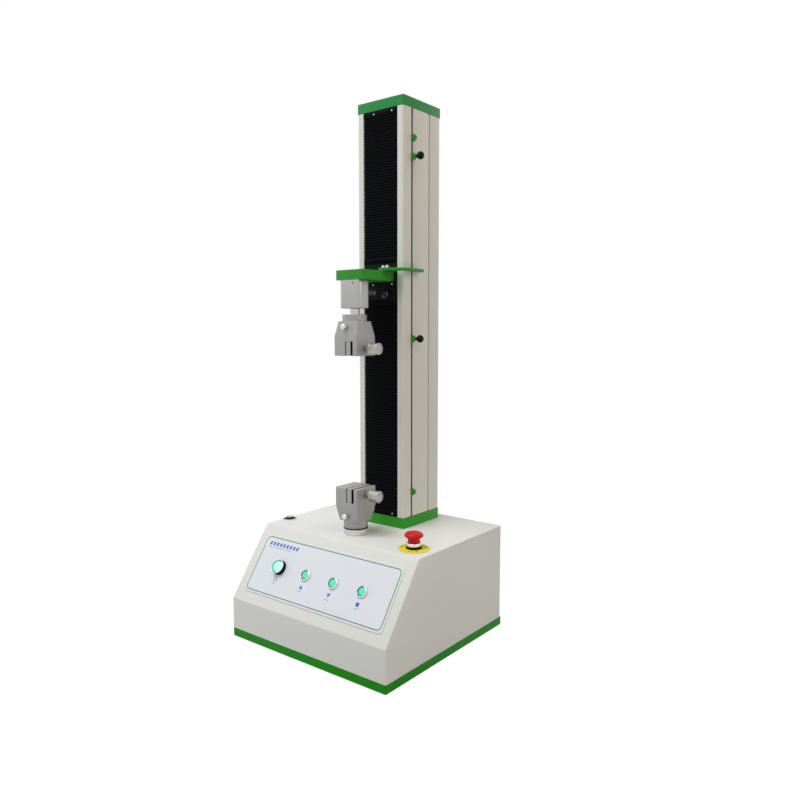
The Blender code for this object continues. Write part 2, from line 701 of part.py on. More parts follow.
def key_places():
    """X and hole radius of the power button and the three keys, left to right."""
    power = (-1.5 * KEY_PITCH, POWER_BARREL_RADIUS)
    return [power] + [((k - 0.5) * KEY_PITCH, BARREL_RADIUS) for k in range(3)]


def control_plate(slope):
    x = HALF_WIDTH - PLATE_MARGIN
    outline = block_outline(-x, x, PLATE_START, PLATE_START + PLATE_LENGTH, PLATE_CORNER, 4)
    plate = add("control_plate", extruded(outline, GAP, GAP + PLATE_THICKNESS), "panel_film", parent=slope)
    holes = bmesh.new()
    for hole_x, radius in key_places():
        rod(radius + GAP, -SHEET, 2 * SHEET, x=hole_x, y=KEY_LINE, bm=holes)
    cut(plate, "plate_holes", holes)


def power_switch(slope):
    """A raised round bezel with a lit push button in it. The barrel goes through the cover."""
    seat = GAP + PLATE_THICKNESS + GAP
    outer, top, glass = POWER_BEZEL_RADIUS, seat + POWER_BEZEL_HEIGHT, POWER_LENS_RADIUS
    barrel, bore = POWER_BARREL_RADIUS, POWER_BARREL_RADIUS - BARREL_WALL
    lens_bore, low = glass + RUN, top - LENS_SKIRT
    shelf = low - POWER_TRAVEL
    profile = [
        (bore, -BARREL_DEPTH), (barrel, -BARREL_DEPTH), (barrel, seat), (outer + BEZEL_STEP, seat),
        (outer + BEZEL_STEP, seat + BEZEL_FOOT), (outer, seat + BEZEL_FOOT), (outer, top - BEZEL_STEP),
        (outer - BEZEL_STEP, top), (lens_bore, top), (lens_bore, shelf), (bore, shelf),
    ]
    place = frame("power_axis", (-1.5 * KEY_PITCH, KEY_LINE, 0), parent=slope)
    add("power_bezel", turned(profile, 22, True), "chrome", parent=place)
    stem, tail = bore - RUN, STEM_SHORT - BARREL_DEPTH
    lens = [
        (0, tail), (stem, tail), (stem, low + GAP), (glass, low + GAP), (glass, top + LENS_RISE),
        (glass - LENS_EDGE, top + 2 * LENS_RISE), (0, top + POWER_LENS_CROWN),
    ]
    add("power_button", turned(lens, 20), "green_lens", parent=place)


def key(slope, name, x):
    """A flush key: a low domed bezel, with a lens that is pushed in."""
    seat = GAP + PLATE_THICKNESS + GAP
    top = seat + KEY_BEZEL_HEIGHT
    bore = KEY_LENS_RADIUS + RUN
    barrel, rim, glass = BARREL_RADIUS, KEY_BEZEL_RADIUS, KEY_LENS_RADIUS
    stem_bore = barrel - KEY_WALL
    shelf = top - KEY_TRAVEL - KEY_WALL
    profile = [
        (stem_bore, -BARREL_DEPTH), (barrel, -BARREL_DEPTH), (barrel, seat), (rim, seat),
        (rim, seat + KEY_WALL), (rim - BEZEL_EDGE, top - BEZEL_EDGE / 2), (rim - 2 * BEZEL_EDGE, top),
        (bore, top), (bore, shelf), (stem_bore, shelf),
    ]
    place = frame(name + "_axis", (x, KEY_LINE, 0), parent=slope)
    add(name + "_bezel", turned(profile, 16, True), "chrome", parent=place)
    stem, tail = stem_bore - RUN, STEM_SHORT - BARREL_DEPTH
    low = shelf + KEY_TRAVEL + GAP
    lens = [
        (0, tail), (stem, tail), (stem, low), (glass, low), (glass, top + KEY_LENS_CROWN / 4),
        (glass - LENS_EDGE / 2, top + KEY_LENS_CROWN * 3 / 4), (0, top + KEY_LENS_CROWN),
    ]
    add(name + "_cap", turned(lens, 16), "green_lens", parent=place)


def emergency_stop():
    """Legend disc, collar with its barrel through the cover, plunger, and the mushroom head on it."""
    place = frame("stop_axis", (STOP_X, STOP_Y, BASE_HEIGHT))
    disc_top = GAP + STOP_LEGEND_THICKNESS
    hole, rim = STOP_BARREL_RADIUS + GAP, STOP_LEGEND_RADIUS
    disc = [(hole, GAP), (rim, GAP), (rim, disc_top), (hole, disc_top)]
    add("stop_legend", turned(disc, 26, True), "yellow_plastic", parent=place)
    seat = disc_top + GAP
    top = seat + STOP_COLLAR_HEIGHT
    bore, skirt_bore = STOP_PLUNGER_RADIUS + RUN, STOP_SKIRT_RADIUS + RUN
    shelf, neck = top - STOP_SHELF_DEPTH, STOP_COLLAR_RADIUS - STOP_COLLAR_STEP
    collar = [
        (bore, -STOP_BARREL_DEPTH), (STOP_BARREL_RADIUS, -STOP_BARREL_DEPTH), (STOP_BARREL_RADIUS, seat),
        (STOP_COLLAR_RADIUS, seat), (STOP_COLLAR_RADIUS, shelf - STOP_COLLAR_STEP), (neck, shelf),
        (neck, top), (skirt_bore, top), (skirt_bore, shelf), (bore, shelf),
    ]
    add("stop_collar", turned(collar, 18, True), "bright_steel", parent=place)
    skirt = shelf + STOP_TRAVEL + GAP
    hood = top + STOP_HOOD_RISE
    tail = STOP_PLUNGER_SHORT - STOP_BARREL_DEPTH
    plunger = [(0, tail), (STOP_PLUNGER_RADIUS, tail), (STOP_PLUNGER_RADIUS, hood - GAP), (0, hood - GAP)]
    add("stop_plunger", turned(plunger, 16), "black_plastic", parent=place)
    section = mushroom(bore, skirt, hood, top + STOP_HEAD_HEIGHT)
    add("stop_head", turned(section, 22), "red_plastic", parent=place)


def mushroom(bore, skirt, hood, crown):
    """The head's section: a skirt in the collar, a waist under the brim and a domed crown."""
    head, waist, e = STOP_HEAD_RADIUS, STOP_SKIRT_RADIUS, STOP_HEAD_ROUND
    brim = hood + e
    return [
        (0, hood), (bore, hood), (bore, skirt), (waist, skirt), (waist, brim), (waist + e, brim + 2 * e),
        (head - 2 * e, brim + 3 * e), (head - e / 2, brim + 4 * e), (head, brim + 5 * e),
        (head, crown - 6 * e), (head - e, crown - 4 * e), (head - 3 * e, crown - 2 * e),
        (head - 8 * e, crown - e / 2), (0, crown),
    ]


def spirit_level():
    """A round level in a square flange: a ring stands on the flange, with the vial sunk in it."""
    half, r, top = LEVEL_SIZE / 2, LEVEL_RADIUS, LEVEL_HEIGHT
    flange = extruded(block_outline(-half, half, -half, half, LEVEL_CORNER, 3), GAP, LEVEL_FLANGE)
    level = add("spirit_level", flange, "dark_steel", (LEVEL_X, LEVEL_Y, BASE_HEIGHT))
    low, edge = LEVEL_FLANGE / 2, top - LEVEL_EDGE
    weld(level, "level_ring", turned([(0, low), (r, low), (r, edge), (r - LEVEL_EDGE, top), (0, top)], 20))
    cut(level, "level_well", rod(r - LEVEL_RIM, edge, top + OVERRUN, 20))


# Column


def inner_depth():
    """Half of the depth inside the column's walls."""
    return COLUMN_DEPTH / 2 - COLUMN_WALL - GAP


def column_ring():
    half = COLUMN_DEPTH / 2
    return block_outline(-HALF_COLUMN, HALF_COLUMN, COLUMN_MID_Y - half, COLUMN_MID_Y + half, RING_CORNER, 3)


def column_bore(clearance=GAP):
    """The outline of the room inside the column's walls, with a clearance outwards."""
    x, y = INNER_HALF + clearance, inner_depth() + clearance
    return block_outline(-x, x, COLUMN_MID_Y - y, COLUMN_MID_Y + y, COLUMN_CORNER - COLUMN_WALL, 4)


def column_collar():
    """A green band round the column's foot, open inside."""
    collar = add("column_collar", extruded(column_ring(), COLLAR_BOTTOM, COLLAR_TOP), "green_paint")
    cut(collar, "collar_inside", extruded(column_bore(), COLLAR_BOTTOM - OVERRUN, COLLAR_TOP + OVERRUN))


def column_cap():
    """A green cap: a top with a skirt that stands on the column's skin."""
    bm = extruded(column_ring(), CAP_BOTTOM, COLUMN_TOP)
    rim = [e for e in bm.edges if all(abs(v.co.z - COLUMN_TOP) < 1e-6 for v in e.verts)]
    bmesh.ops.bevel(bm, geom=rim, offset=CAP_EDGE, segments=2, affect="EDGES")
    cap = add("column_cap", bm, "green_paint")
    cut(cap, "cap_inside", extruded(column_bore(), CAP_BOTTOM - OVERRUN, COLUMN_TOP - COLUMN_WALL))


def rod_bores(z0, z1, room, bm=None):
    """Holes for the two guide rods, from z0 to z1."""
    for x in (-ROD_X, ROD_X):
        bm = rod(ROD_RADIUS + room, z0, z1, 20, x, DRIVE_Y, bm)
    return bm


def column_foot_plate():
    """The block that carries the column's rods, skins and lower bearing, bolted to the deck."""
    low, top = DECK_TOP + GAP, FOOT_BLOCK_TOP
    foot = add("column_foot_plate", extruded(column_bore(0), low, COLLAR_TOP - GAP), "nut_steel")
    block = box(-BLOCK_HALF_WIDTH, BLOCK_HALF_WIDTH, BLOCK_FRONT, BLOCK_BACK, (low + COLLAR_TOP) / 2, top)
    weld(foot, "foot_block", block)
    cut(foot, "foot_rod_holes", rod_bores(top - SOCKET_BITE, top + OVERRUN, GAP))
    well = rod(COUPLING_RADIUS + COUPLING_ROOM, low - OVERRUN, BEARING_SEAT, 20, 0, DRIVE_Y)
    cut(foot, "foot_coupling_bore", well)
    bearing = rod(JOURNAL_RADIUS + RUN, BEARING_SEAT - OVERRUN, top + OVERRUN, 16, 0, DRIVE_Y)
    cut(foot, "foot_bearing_bore", bearing)
    guide = rod(LIMIT_ROD_RADIUS + RUN, low - OVERRUN, COLLAR_TOP + OVERRUN, 14, LIMIT_ROD_X, SLOT_MID)
    cut(foot, "foot_limit_hole", guide)


def column_head_plate():
    """The plate under the cap, with a block that holds the rods' tops and the upper bearing."""
    low, top, under = CAP_BOTTOM, CAP_BOTTOM + HEAD_PLATE_THICKNESS, HEAD_BLOCK_BOTTOM
    head = add("column_head_plate", extruded(column_bore(0), low, top), "nut_steel")
    block = box(-BLOCK_HALF_WIDTH, BLOCK_HALF_WIDTH, BLOCK_FRONT, BLOCK_BACK, under, (low + top) / 2)
    weld(head, "head_block", block)
    cut(head, "head_rod_holes", rod_bores(under - OVERRUN, under + SOCKET_BITE, GAP))
    bearing = rod(JOURNAL_RADIUS + RUN, under - OVERRUN, under + SOCKET_BITE, 16, 0, DRIVE_Y)
    cut(head, "head_bearing_bore", bearing)
    guide = rod(LIMIT_ROD_RADIUS + RUN, low - OVERRUN, top + OVERRUN, 14, LIMIT_ROD_X, SLOT_MID)
    cut(head, "head_limit_hole", guide)


def mirrored(outline, side):
    """The outline as it is on the right, or mirrored to the left."""
    return outline if side > 0 else [(-x, y) for x, y in reversed(outline)]


def column_profiles():
    """The two front corners: a face, a rounded corner, a side wall and a lip beside the bellows."""
    wall, inside, hook = COLUMN_WALL, HALF_COLUMN - COLUMN_WALL, LIP_X + LIP_THICKNESS
    front, bend = COLUMN_FRONT, COLUMN_FRONT + COLUMN_WALL
    outline = rounded([
        (LIP_X, front, LIP_EDGE), (HALF_COLUMN, front, COLUMN_CORNER), (HALF_COLUMN, SLOT_FRONT, 0),
        (inside, SLOT_FRONT, 0), (inside, bend, COLUMN_CORNER - wall), (hook, bend, 0),
        (hook, front + LIP_DEPTH, 0), (LIP_X, front + LIP_DEPTH, 0),
    ], 6)
    for side, word in ((-1, "left"), (1, "right")):
        section = mirrored(outline, side)
        add(f"column_profile_{word}", extruded(section, SKIN_BOTTOM, SKIN_TOP), "column_paint")


def side_covers():
    """Flat strips with a flange at the back. The right one leaves the limit rod's slot open."""
    wall, back = COLUMN_WALL, SIDE_COVER_BACK
    for side, word, front in ((1, "right", SLOT_BACK), (-1, "left", SLOT_FRONT + LEFT_SEAM)):
        section = rounded([
            (HALF_COLUMN - wall, front, 0), (HALF_COLUMN, front, LIP_EDGE), (HALF_COLUMN, back, SKIN_EDGE),
            (HALF_COLUMN - SKIN_FLANGE, back, 0), (HALF_COLUMN - SKIN_FLANGE, back - wall, 0),
            (HALF_COLUMN - wall, back - wall, 0),
        ], 3)
        add(f"side_cover_{word}", extruded(mirrored(section, side), SKIN_BOTTOM, SKIN_TOP), "column_paint")


def column_back_cover():
    """A channel that closes the back, with flanges beside the grooves and a row of vents."""
    wall, front, back, side = COLUMN_WALL, BACK_COVER_FRONT, COLUMN_BACK, HALF_COLUMN
    half = [(side - SKIN_FLANGE, front, 0), (side, front, SKIN_EDGE), (side, back, BACK_CORNER)]
    inner = [
        (side - wall, back - wall, BACK_CORNER - wall), (side - wall, front + wall, 0),
        (side - SKIN_FLANGE, front + wall, 0),
    ]
    left = [(-x, y, r) for x, y, r in reversed(inner + half)]
    corners = half + left + inner
    cover = add("column_back_cover", extruded(rounded(corners, 3), SKIN_BOTTOM, SKIN_TOP), "column_paint")
    vents = bmesh.new()
    for k in range(BACK_VENT_COUNT):
        z = SKIN_TOP - BACK_VENT_DROP - k * BACK_VENT_PITCH
        slot = block_outline(-BACK_VENT_HALF, BACK_VENT_HALF, z, z + BACK_VENT_HEIGHT, VENT_ROUND, 1)
        swept_y(slot, back - 3 * wall, back + wall, vents)
    cut(cover, "back_vents", vents)


def guide_rods():
    bottom = FOOT_BLOCK_TOP - SOCKET_BITE + GAP
    top = HEAD_BLOCK_BOTTOM + SOCKET_BITE - GAP
    for side, word in ((-1, "left"), (1, "right")):
        add(f"guide_rod_{word}", rod(ROD_RADIUS, bottom, top, 18), "bright_steel", (side * ROD_X, DRIVE_Y, 0))


# Drive


def drive_line():
    """The ball screw with its journals, on the coupling that the motor's shaft turns."""
    axis = frame("drive_axis", (0, DRIVE_Y, 0))
    low, seat = COUPLING_TOP + GAP, FOOT_BLOCK_TOP + GAP
    end, shoulder = HEAD_BLOCK_BOTTOM + SOCKET_BITE - GAP, HEAD_BLOCK_BOTTOM - SHOULDER_HEIGHT
    journal, wide, thread, step = JOURNAL_RADIUS, SHOULDER_RADIUS, SCREW_RADIUS, seat + SHOULDER_HEIGHT
    screw = [
        (0, low), (journal, low), (journal, seat), (wide, seat), (wide, step), (thread, step),
        (thread, shoulder), (journal, shoulder), (journal, end - SHAFT_EDGE), (journal - SHAFT_EDGE, end),
        (0, end),
    ]
    add("drive_screw", turned(screw, 14), "bright_steel", parent=axis)
    tip = DECK_BOTTOM - GAP - MOTOR_SHAFT_BITE
    r, shaft, groove, edge = COUPLING_RADIUS, MOTOR_SHAFT_RADIUS, COUPLING_GROOVE, SHAFT_EDGE
    low, top = COUPLING_BOTTOM, COUPLING_TOP
    under, over = (low + top) / 2 - groove, (low + top) / 2 + groove
    coupling = [
        (0, tip), (shaft, tip), (shaft, low), (r - edge, low), (r, low + edge), (r, under),
        (r - groove, under), (r - groove, over), (r, over), (r, top - edge), (r - edge, top), (0, top),
    ]
    add("shaft_coupling", turned(coupling, 14), "satin_aluminium", parent=axis)


def motor():
    """A flanged servo motor that hangs under the deck, with a pocket round its shaft."""
    half, top = MOTOR_SIZE / 2, DECK_BOTTOM - GAP
    bm = extruded(block_outline(-half, half, -half, half, MOTOR_CORNER, 3), top - MOTOR_FLANGE, top)
    body = add("motor", bm, "black_plastic", (0, DRIVE_Y, 0))
    slim = half - MOTOR_STEP
    can = block_outline(-slim, slim, -slim, slim, MOTOR_CAN_CORNER, 4)
    weld(body, "motor_can", extruded(can, top - MOTOR_LENGTH, top - MOTOR_FLANGE / 2))
    pocket = MOTOR_SHAFT_BITE + MOTOR_STEP
    cut(body, "motor_shaft_pocket", rod(MOTOR_SHAFT_RADIUS + RUN, top - pocket, top + OVERRUN, 16))


# Crosshead


def carriage():
    """Runs on the guide rods behind the bellows; its front plate fills the gap between them."""
    front, plate_back = FRONT_PLATE_Y, FRONT_PLATE_BACK
    block_front, block_back = DRIVE_Y - CARRIAGE_DEPTH / 2, DRIVE_Y + CARRIAGE_DEPTH / 2
    plate, neck, wide = BELLOWS_HALF, NECK_HALF_WIDTH, CARRIAGE_HALF_WIDTH
    half = [
        (plate, front), (plate, plate_back), (neck, plate_back), (neck, block_front), (wide, block_front),
        (wide, block_back),
    ]
    outline = half + [(-x, y) for x, y in reversed(half)]
    block = add("carriage", extruded(outline, CARRIAGE_BOTTOM, CARRIAGE_TOP), "black_plastic")
    weld(block, "screw_nut", rod(NUT_RADIUS, CARRIAGE_BOTTOM - NUT_LENGTH, ARM_Z, 20, 0, DRIVE_Y))
    low, high = CARRIAGE_BOTTOM - NUT_LENGTH - OVERRUN, CARRIAGE_TOP + OVERRUN
    holes = rod(SCREW_RADIUS + RUN, low, high, 20, 0, DRIVE_Y)
    cut(block, "carriage_bores", rod_bores(low, high, RUN, holes))


def crosshead_arm():
    half, back = ARM_WIDTH / 2, FRONT_PLATE_Y - GAP
    front = [(-half, ARM_FRONT, ARM_CORNER), (half, ARM_FRONT, ARM_CORNER)]
    outline = rounded(front + [(half, back, 0), (-half, back, 0)], 3)
    arm = add("crosshead_arm", extruded(outline, ARM_Z, ARM_TOP), "green_paint")
    bolts = bmesh.new()
    for x in (-ARM_BOLT_X, ARM_BOLT_X):
        for y in (CELL_Y - ARM_BOLT_Y, CELL_Y + ARM_BOLT_Y):
            rod(ARM_BOLT_BORE, ARM_TOP - ARM_BOLT_DEPTH, ARM_TOP + OVERRUN, 14, x, y, bolts)
    cut(arm, "arm_bolt_bores", bolts)


def trip_plate():
    """An angled plate on the arm, which reaches past the column's side to the stops."""
    bar_back = FRONT_PLATE_Y - TRIP_SET_BACK
    front, r = bar_back - TRIP_BAR, TRIP_CORNER
    inner, outer, corner = HALF_COLUMN + TRIP_CLEARANCE, TRIP_REACH, ARM_WIDTH / 2 + TRIP_CORNER_OUT
    outline = rounded([
        (TRIP_START, front, r), (corner, front, 2 * r), (outer, COLUMN_FRONT, 2 * r), (outer, TRIP_END, r),
        (inner, TRIP_END, r / 2), (inner, bar_back, r / 2), (TRIP_START, bar_back, r),
    ], 3)
    add("trip_plate", extruded(outline, TRIP_Z, TRIP_TOP), "green_paint")


def load_cell():
    half_x, half_y, lip = CELL_WIDTH / 2, CELL_DEPTH / 2, CELL_EDGE
    full = square_section(half_x, half_y, CELL_CORNER)
    foot = square_section(half_x - lip, half_y - lip, CELL_CORNER - lip)
    body = lofted([(CELL_BOTTOM, foot), (CELL_BOTTOM + lip, full), (CELL_TOP, full)])
    cell = add("load_cell", body, "satin_aluminium", (0, CELL_Y, 0))
    hole = rod(CELL_HOLE_RADIUS, half_y - CELL_HOLE_DEPTH, half_y + OVERRUN, 12)
    cut(cell, "cell_screw_hole", hole, (CELL_HOLE_X, 0, CELL_TOP - CELL_HOLE_DROP), (pi / 2, 0, 0))


def load_cell_plug():
    """The connector on the cell's back, its boot and short lead, and the gland on the carriage."""
    start, end = CELL_Y + CELL_DEPTH / 2 + GAP, FRONT_PLATE_Y - GAP
    r, lead, run, neck = PLUG_RADIUS, LEAD_RADIUS, end - start, PLUG_RADIUS - PLUG_STEP
    gland, nut = run - GLAND_LENGTH, run - GLAND_NUT
    profile = [
        (0, 0), (r, 0), (r, PLUG_LENGTH), (neck, PLUG_LENGTH), (neck, PLUG_LENGTH + PLUG_NECK),
        (lead, BOOT_END), (lead, gland), (GLAND_RADIUS, gland), (GLAND_RADIUS, nut), (r, nut), (r, run),
        (0, run),
    ]
    place = (PLUG_X, start, ARM_Z - PLUG_DROP)
    add("load_cell_plug", turned(profile, 14), "black_plastic", place, (-pi / 2, 0, 0))


# Bellows


def bellows(name, z0, z1):
    """Pleated skin from z0 to z1, with a stiff frame at each end."""
    low, high = z0 + BELLOWS_FRAME, z1 - BELLOWS_FRAME
    count = max(2, round((high - low) / PLEAT_PITCH))
    pitch = (high - low) / count
    skin = BELLOWS_SKIN
    crest, root = FRONT_PLATE_Y, FRONT_PLATE_Y + PLEAT_DEPTH - skin
    front = [(crest, z0), (crest, low)]
    for k in range(count):
        front += [(root, low + (k + 0.5) * pitch), (crest, low + (k + 1) * pitch)]
    front.append((crest, z1))
    back = [(y + skin, z) for y, z in reversed(front)]
    back = [(root + skin if z <= low - 1e-7 or z >= high + 1e-7 else y, z) for y, z in back]
    add(name, swept_x(front + back, -BELLOWS_HALF, BELLOWS_HALF), "bellows_fabric")


# Grips


def grip(name, axis, pin_side):
    """One grip in its own frame: shank at z = 0, mouth at GRIP_LENGTH, knob towards +X."""
    edge, neck = GRIP_EDGE, SHANK_LENGTH + GRIP_EDGE / 2
    shank = square_section(SHANK_RADIUS, SHANK_RADIUS, SHANK_RADIUS - GAP)
    waist = square_section(GRIP_WAIST, GRIP_WAIST, GRIP_WAIST_CORNER)
    full = square_section(GRIP_HALF_X, GRIP_HALF_Y, GRIP_CORNER)
    rim = square_section(GRIP_HALF_X - edge, GRIP_HALF_Y - edge, GRIP_CORNER - edge)
    body = add(f"{name}_grip_body", lofted([
        (0, shank), (SHANK_LENGTH, shank), (neck, waist), (SHANK_LENGTH + GRIP_TAPER, full),
        (GRIP_LENGTH - edge, full), (GRIP_LENGTH, rim),
    ]), "grip_aluminium", parent=axis)
    wide = GRIP_HALF_Y + OVERRUN
    pocket = box(CHEEK_X, POCKET_END, -wide, wide, GRIP_LENGTH - POCKET_DEPTH, GRIP_LENGTH + OVERRUN)
    cut(body, f"{name}_pocket", pocket)
    cut(body, f"{name}_socket", rod(SPIGOT_RADIUS + GAP, -OVERRUN, SPIGOT_LENGTH + GAP, 20))
    cut(body, f"{name}_pin_hole", rod(PIN_RADIUS + GAP, -wide, wide), (0, 0, PIN_Z), (pi / 2, 0, 0))
    threaded = rod(CLAMP_SCREW_RADIUS + RUN, POCKET_END - OVERRUN, GRIP_HALF_X + OVERRUN)
    cut(body, f"{name}_screw_hole", threaded, (0, 0, CLAMP_Z), (0, pi / 2, 0))
    grip_jaw(name, axis)
    clamp_screw(name, axis)
    grip_pin(name, axis, pin_side)


def grip_jaw(name, axis):
    """The sliding jaw: a block with teeth across its gripping face."""
    low, high = GRIP_LENGTH - POCKET_DEPTH + GAP, GRIP_LENGTH - GAP
    count = round((high - low) / JAW_TOOTH_PITCH)
    pitch = (high - low) / count
    teeth = []
    for k in range(count):
        teeth += [(JAW_X, high - k * pitch), (JAW_X + JAW_TOOTH_DEPTH, high - (k + 0.5) * pitch)]
    teeth.append((JAW_X, low))
    back = JAW_X + JAW_THICKNESS
    edge = JAW_EDGE
    section = teeth + [(back - edge, low), (back, low + edge), (back, high - edge), (back - edge, high)]
    reach = GRIP_HALF_Y - 2 * GAP
    add(f"{name}_jaw", swept_y(section, -reach, reach), "grip_aluminium", parent=axis)


def clamp_screw(name, axis):
    """The clamping screw with its round knob, along +X, against the jaw's back."""
    start = JAW_X + JAW_THICKNESS + GAP
    knob = GRIP_HALF_X + CLAMP_NECK
    end = knob + CLAMP_KNOB_LENGTH
    r, k, edge = CLAMP_SCREW_RADIUS, CLAMP_KNOB_RADIUS, SHAFT_EDGE
    profile = [
        (0, start), (r - edge, start), (r, start + edge), (r, knob - edge), (k - 3 * edge, knob),
        (k, knob + 3 * edge), (k, end - edge), (k - edge, end), (k - 2 * edge, end),
        (k - 2 * edge, end - edge / 2), (0, end - edge / 2),
    ]
    place = frame(f"{name}_screw_axis", (0, 0, CLAMP_Z), (0, pi / 2, 0), axis)
    add(f"{name}_clamp_screw", turned(profile, 16), "satin_aluminium", parent=place)


def grip_pin(name, axis, side):
    """The cross pin that holds the grip on its spigot, with a domed end at the front."""
    r, back, front = PIN_RADIUS, -GRIP_WAIST - PIN_SHOW, GRIP_WAIST + PIN_OVERHANG
    profile = [
        (0, back), (r - PIN_EDGE, back), (r, back + PIN_EDGE), (r, front - 4 * PIN_EDGE),
        (r - PIN_EDGE, front - 2 * PIN_EDGE), (r / 2, front - PIN_EDGE / 2), (0, front),
    ]
    add(f"{name}_grip_pin", turned(profile, 14), "bright_steel", (0, 0, PIN_Z), (side * pi / 2, 0, 0), axis)


def pin_bore():
    """The cross hole in a spigot, along the pin."""
    return rod(PIN_RADIUS + GAP, -2 * SPIGOT_RADIUS, 2 * SPIGOT_RADIUS)


def upper_coupling(axis):
    """The stud between the load cell and the upper grip, in the grip's frame, with a slot for a tommy bar."""
    top = GAP - COUPLING_DROP
    stud = add("upper_coupling", rod(SPIGOT_RADIUS, top, SPIGOT_LENGTH, 20), "satin_aluminium", parent=axis)
    cut(stud, "stud_pin_hole", pin_bore(), (0, 0, PIN_Z), (pi / 2, 0, 0))
    half, deep = STUD_SLOT / 2, SPIGOT_RADIUS - STUD_SLOT_DEPTH
    cut(stud, "stud_slot", box(-half, half, -2 * SPIGOT_RADIUS, -deep, top + PIN_SHOW, -SHAFT_EDGE))


def lower_adaptor():
    """The ring bolted to the deck, its lock ring, and the spigot that the lower grip is pinned to."""
    under = GAP + BASE_RING_HEIGHT
    over = under + RING_GAP
    top, foot = over + LOCK_RING_HEIGHT, DECK_BOTTOM - BASE_HEIGHT
    end = top + GAP + SPIGOT_LENGTH
    r, neck, bar = SHANK_RADIUS, SHANK_RADIUS - RING_GROOVE, SPIGOT_RADIUS
    profile = [
        (0, foot), (bar, foot), (bar, GAP), (r, GAP), (r, under), (neck, under), (neck, over), (r, over),
        (r, top), (bar, top), (bar, end), (0, end),
    ]
    adaptor = add("lower_adaptor", turned(profile, 22), "satin_aluminium", (0, AXIS_Y, BASE_HEIGHT))
    cut(adaptor, "adaptor_pin_hole", pin_bore(), (0, 0, top + GAP + PIN_Z), (pi / 2, 0, 0))


# Limit rod


def limit_tab():
    """A clamp round the limit rod with a flat tab that comes out of the column's slot."""
    half, steps, thick, r = TAB_HEIGHT / 2, 16, TAB_THICKNESS / 2, LIMIT_BOSS_RADIUS
    reach = TAB_END - LIMIT_ROD_X
    angle = asin(thick / r)
    around = [angle + (tau - 2 * angle) * k / steps for k in range(steps + 1)]
    bm = extruded([(r * cos(a), r * sin(a)) for a in around] + [(reach, -thick), (reach, thick)], -half, half)
    corners = [
        e for e in bm.edges
        if all(abs(v.co.x - reach) < 1e-6 for v in e.verts) and abs(e.verts[0].co.z - e.verts[1].co.z) < 1e-6
    ]
    bmesh.ops.bevel(bm, geom=corners, offset=TAB_ROUND, segments=3, affect="EDGES")
    return bm


def clamp_on_rod(name, z):
    stop = add(name, limit_tab(), "green_paint", (LIMIT_ROD_X, SLOT_MID, z))
    cut(stop, name + "_bore", rod(LIMIT_ROD_RADIUS + GAP, -TAB_HEIGHT, TAB_HEIGHT))
    return stop


def limit_stops():
    """The sprung rod with its two end stops, and two stops that slide on it when loosened."""
    low = DECK_TOP + 2 * GAP + LIMIT_ROD_PLAY
    high = CAP_BOTTOM + HEAD_PLATE_THICKNESS - LIMIT_ROD_PLAY
    r, wide, collar = LIMIT_ROD_RADIUS, LIMIT_COLLAR_RADIUS, FOOT_BLOCK_TOP - LIMIT_COLLAR_DROP
    collar_end, edge = collar + LIMIT_COLLAR_HEIGHT, SHAFT_EDGE / 2
    profile = [
        (0, low), (r - edge, low), (r, low + edge), (r, collar), (wide, collar), (wide, collar_end),
        (r, collar_end), (r, high - edge), (r - edge, high), (0, high),
    ]
    add("limit_rod", turned(profile, 14), "bright_steel", (LIMIT_ROD_X, SLOT_MID, 0))
    clamp_on_rod("upper_end_stop", UPPER_END_Z)
    clamp_on_rod("lower_end_stop", LOWER_END_Z)
    for word, z in (("upper", UPPER_STOP_Z), ("lower", LOWER_STOP_Z)):
        stop = clamp_on_rod(f"{word}_limit_stop", z)
        hole = rod(THUMB_SCREW_RADIUS + GAP, 0, TAB_END, 12)
        cut(stop, f"{word}_thumb_hole", hole, turn=(0, pi / 2, 0))
        thumb_knob(word, z)


def thumb_knob(word, z):
    """A drop-shaped knob on the screw that clamps a stop to the rod."""
    tip = LIMIT_ROD_RADIUS + GAP
    neck = TAB_END - LIMIT_ROD_X + GAP
    r, s, end = THUMB_KNOB_RADIUS, THUMB_SCREW_RADIUS, neck + THUMB_KNOB_LENGTH
    ball = [(r * cos(radians(a)), end - r + r * sin(radians(a))) for a in range(-35, 90, 25)]
    profile = [(0, tip), (s, tip), (s, neck), (THUMB_FOOT_RADIUS, neck)] + ball + [(0, end)]
    place = frame(f"{word}_thumb_axis", (LIMIT_ROD_X, SLOT_MID, z), (0, pi / 2, 0))
    add(f"{word}_stop_knob", turned(profile, 14), "black_plastic", parent=place)


def build():
    clear_scene()
    feet()
    base_tray()
    base_cover()
    base_deck()
    power_inlet()
    slope = frame("slope_frame", (0, -HALF_DEPTH, FRONT_HEIGHT), (SLOPE_ANGLE, 0, 0))
    control_plate(slope)
    power_switch(slope)
    for k, word in enumerate(("up_key", "down_key", "stop_key")):
        key(slope, word, (k - 0.5) * KEY_PITCH)
    emergency_stop()
    spirit_level()
    column_collar()
    column_cap()
    column_foot_plate()
    column_head_plate()
    column_profiles()
    side_covers()
    column_back_cover()
    guide_rods()
    drive_line()
    motor()
    carriage()
    crosshead_arm()
    trip_plate()
    load_cell()
    load_cell_plug()
    bellows("lower_bellows", SKIN_BOTTOM, CARRIAGE_BOTTOM - GAP)
    bellows("upper_bellows", CARRIAGE_TOP + GAP, SKIN_TOP)
    lower_adaptor()
    grip("lower", frame("lower_grip_frame", (0, AXIS_Y, LOWER_GRIP_Z)), 1)
    upper = frame("upper_grip_frame", (0, AXIS_Y, UPPER_GRIP_Z), (pi, 0, 0))
    upper_coupling(upper)
    grip("upper", upper, -1)
    limit_stops()


build()
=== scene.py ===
import json
from math import atan2, cos, pi, radians, sin, tau

import bmesh
import bpy
import numpy as np
from mathutils import Matrix, Vector


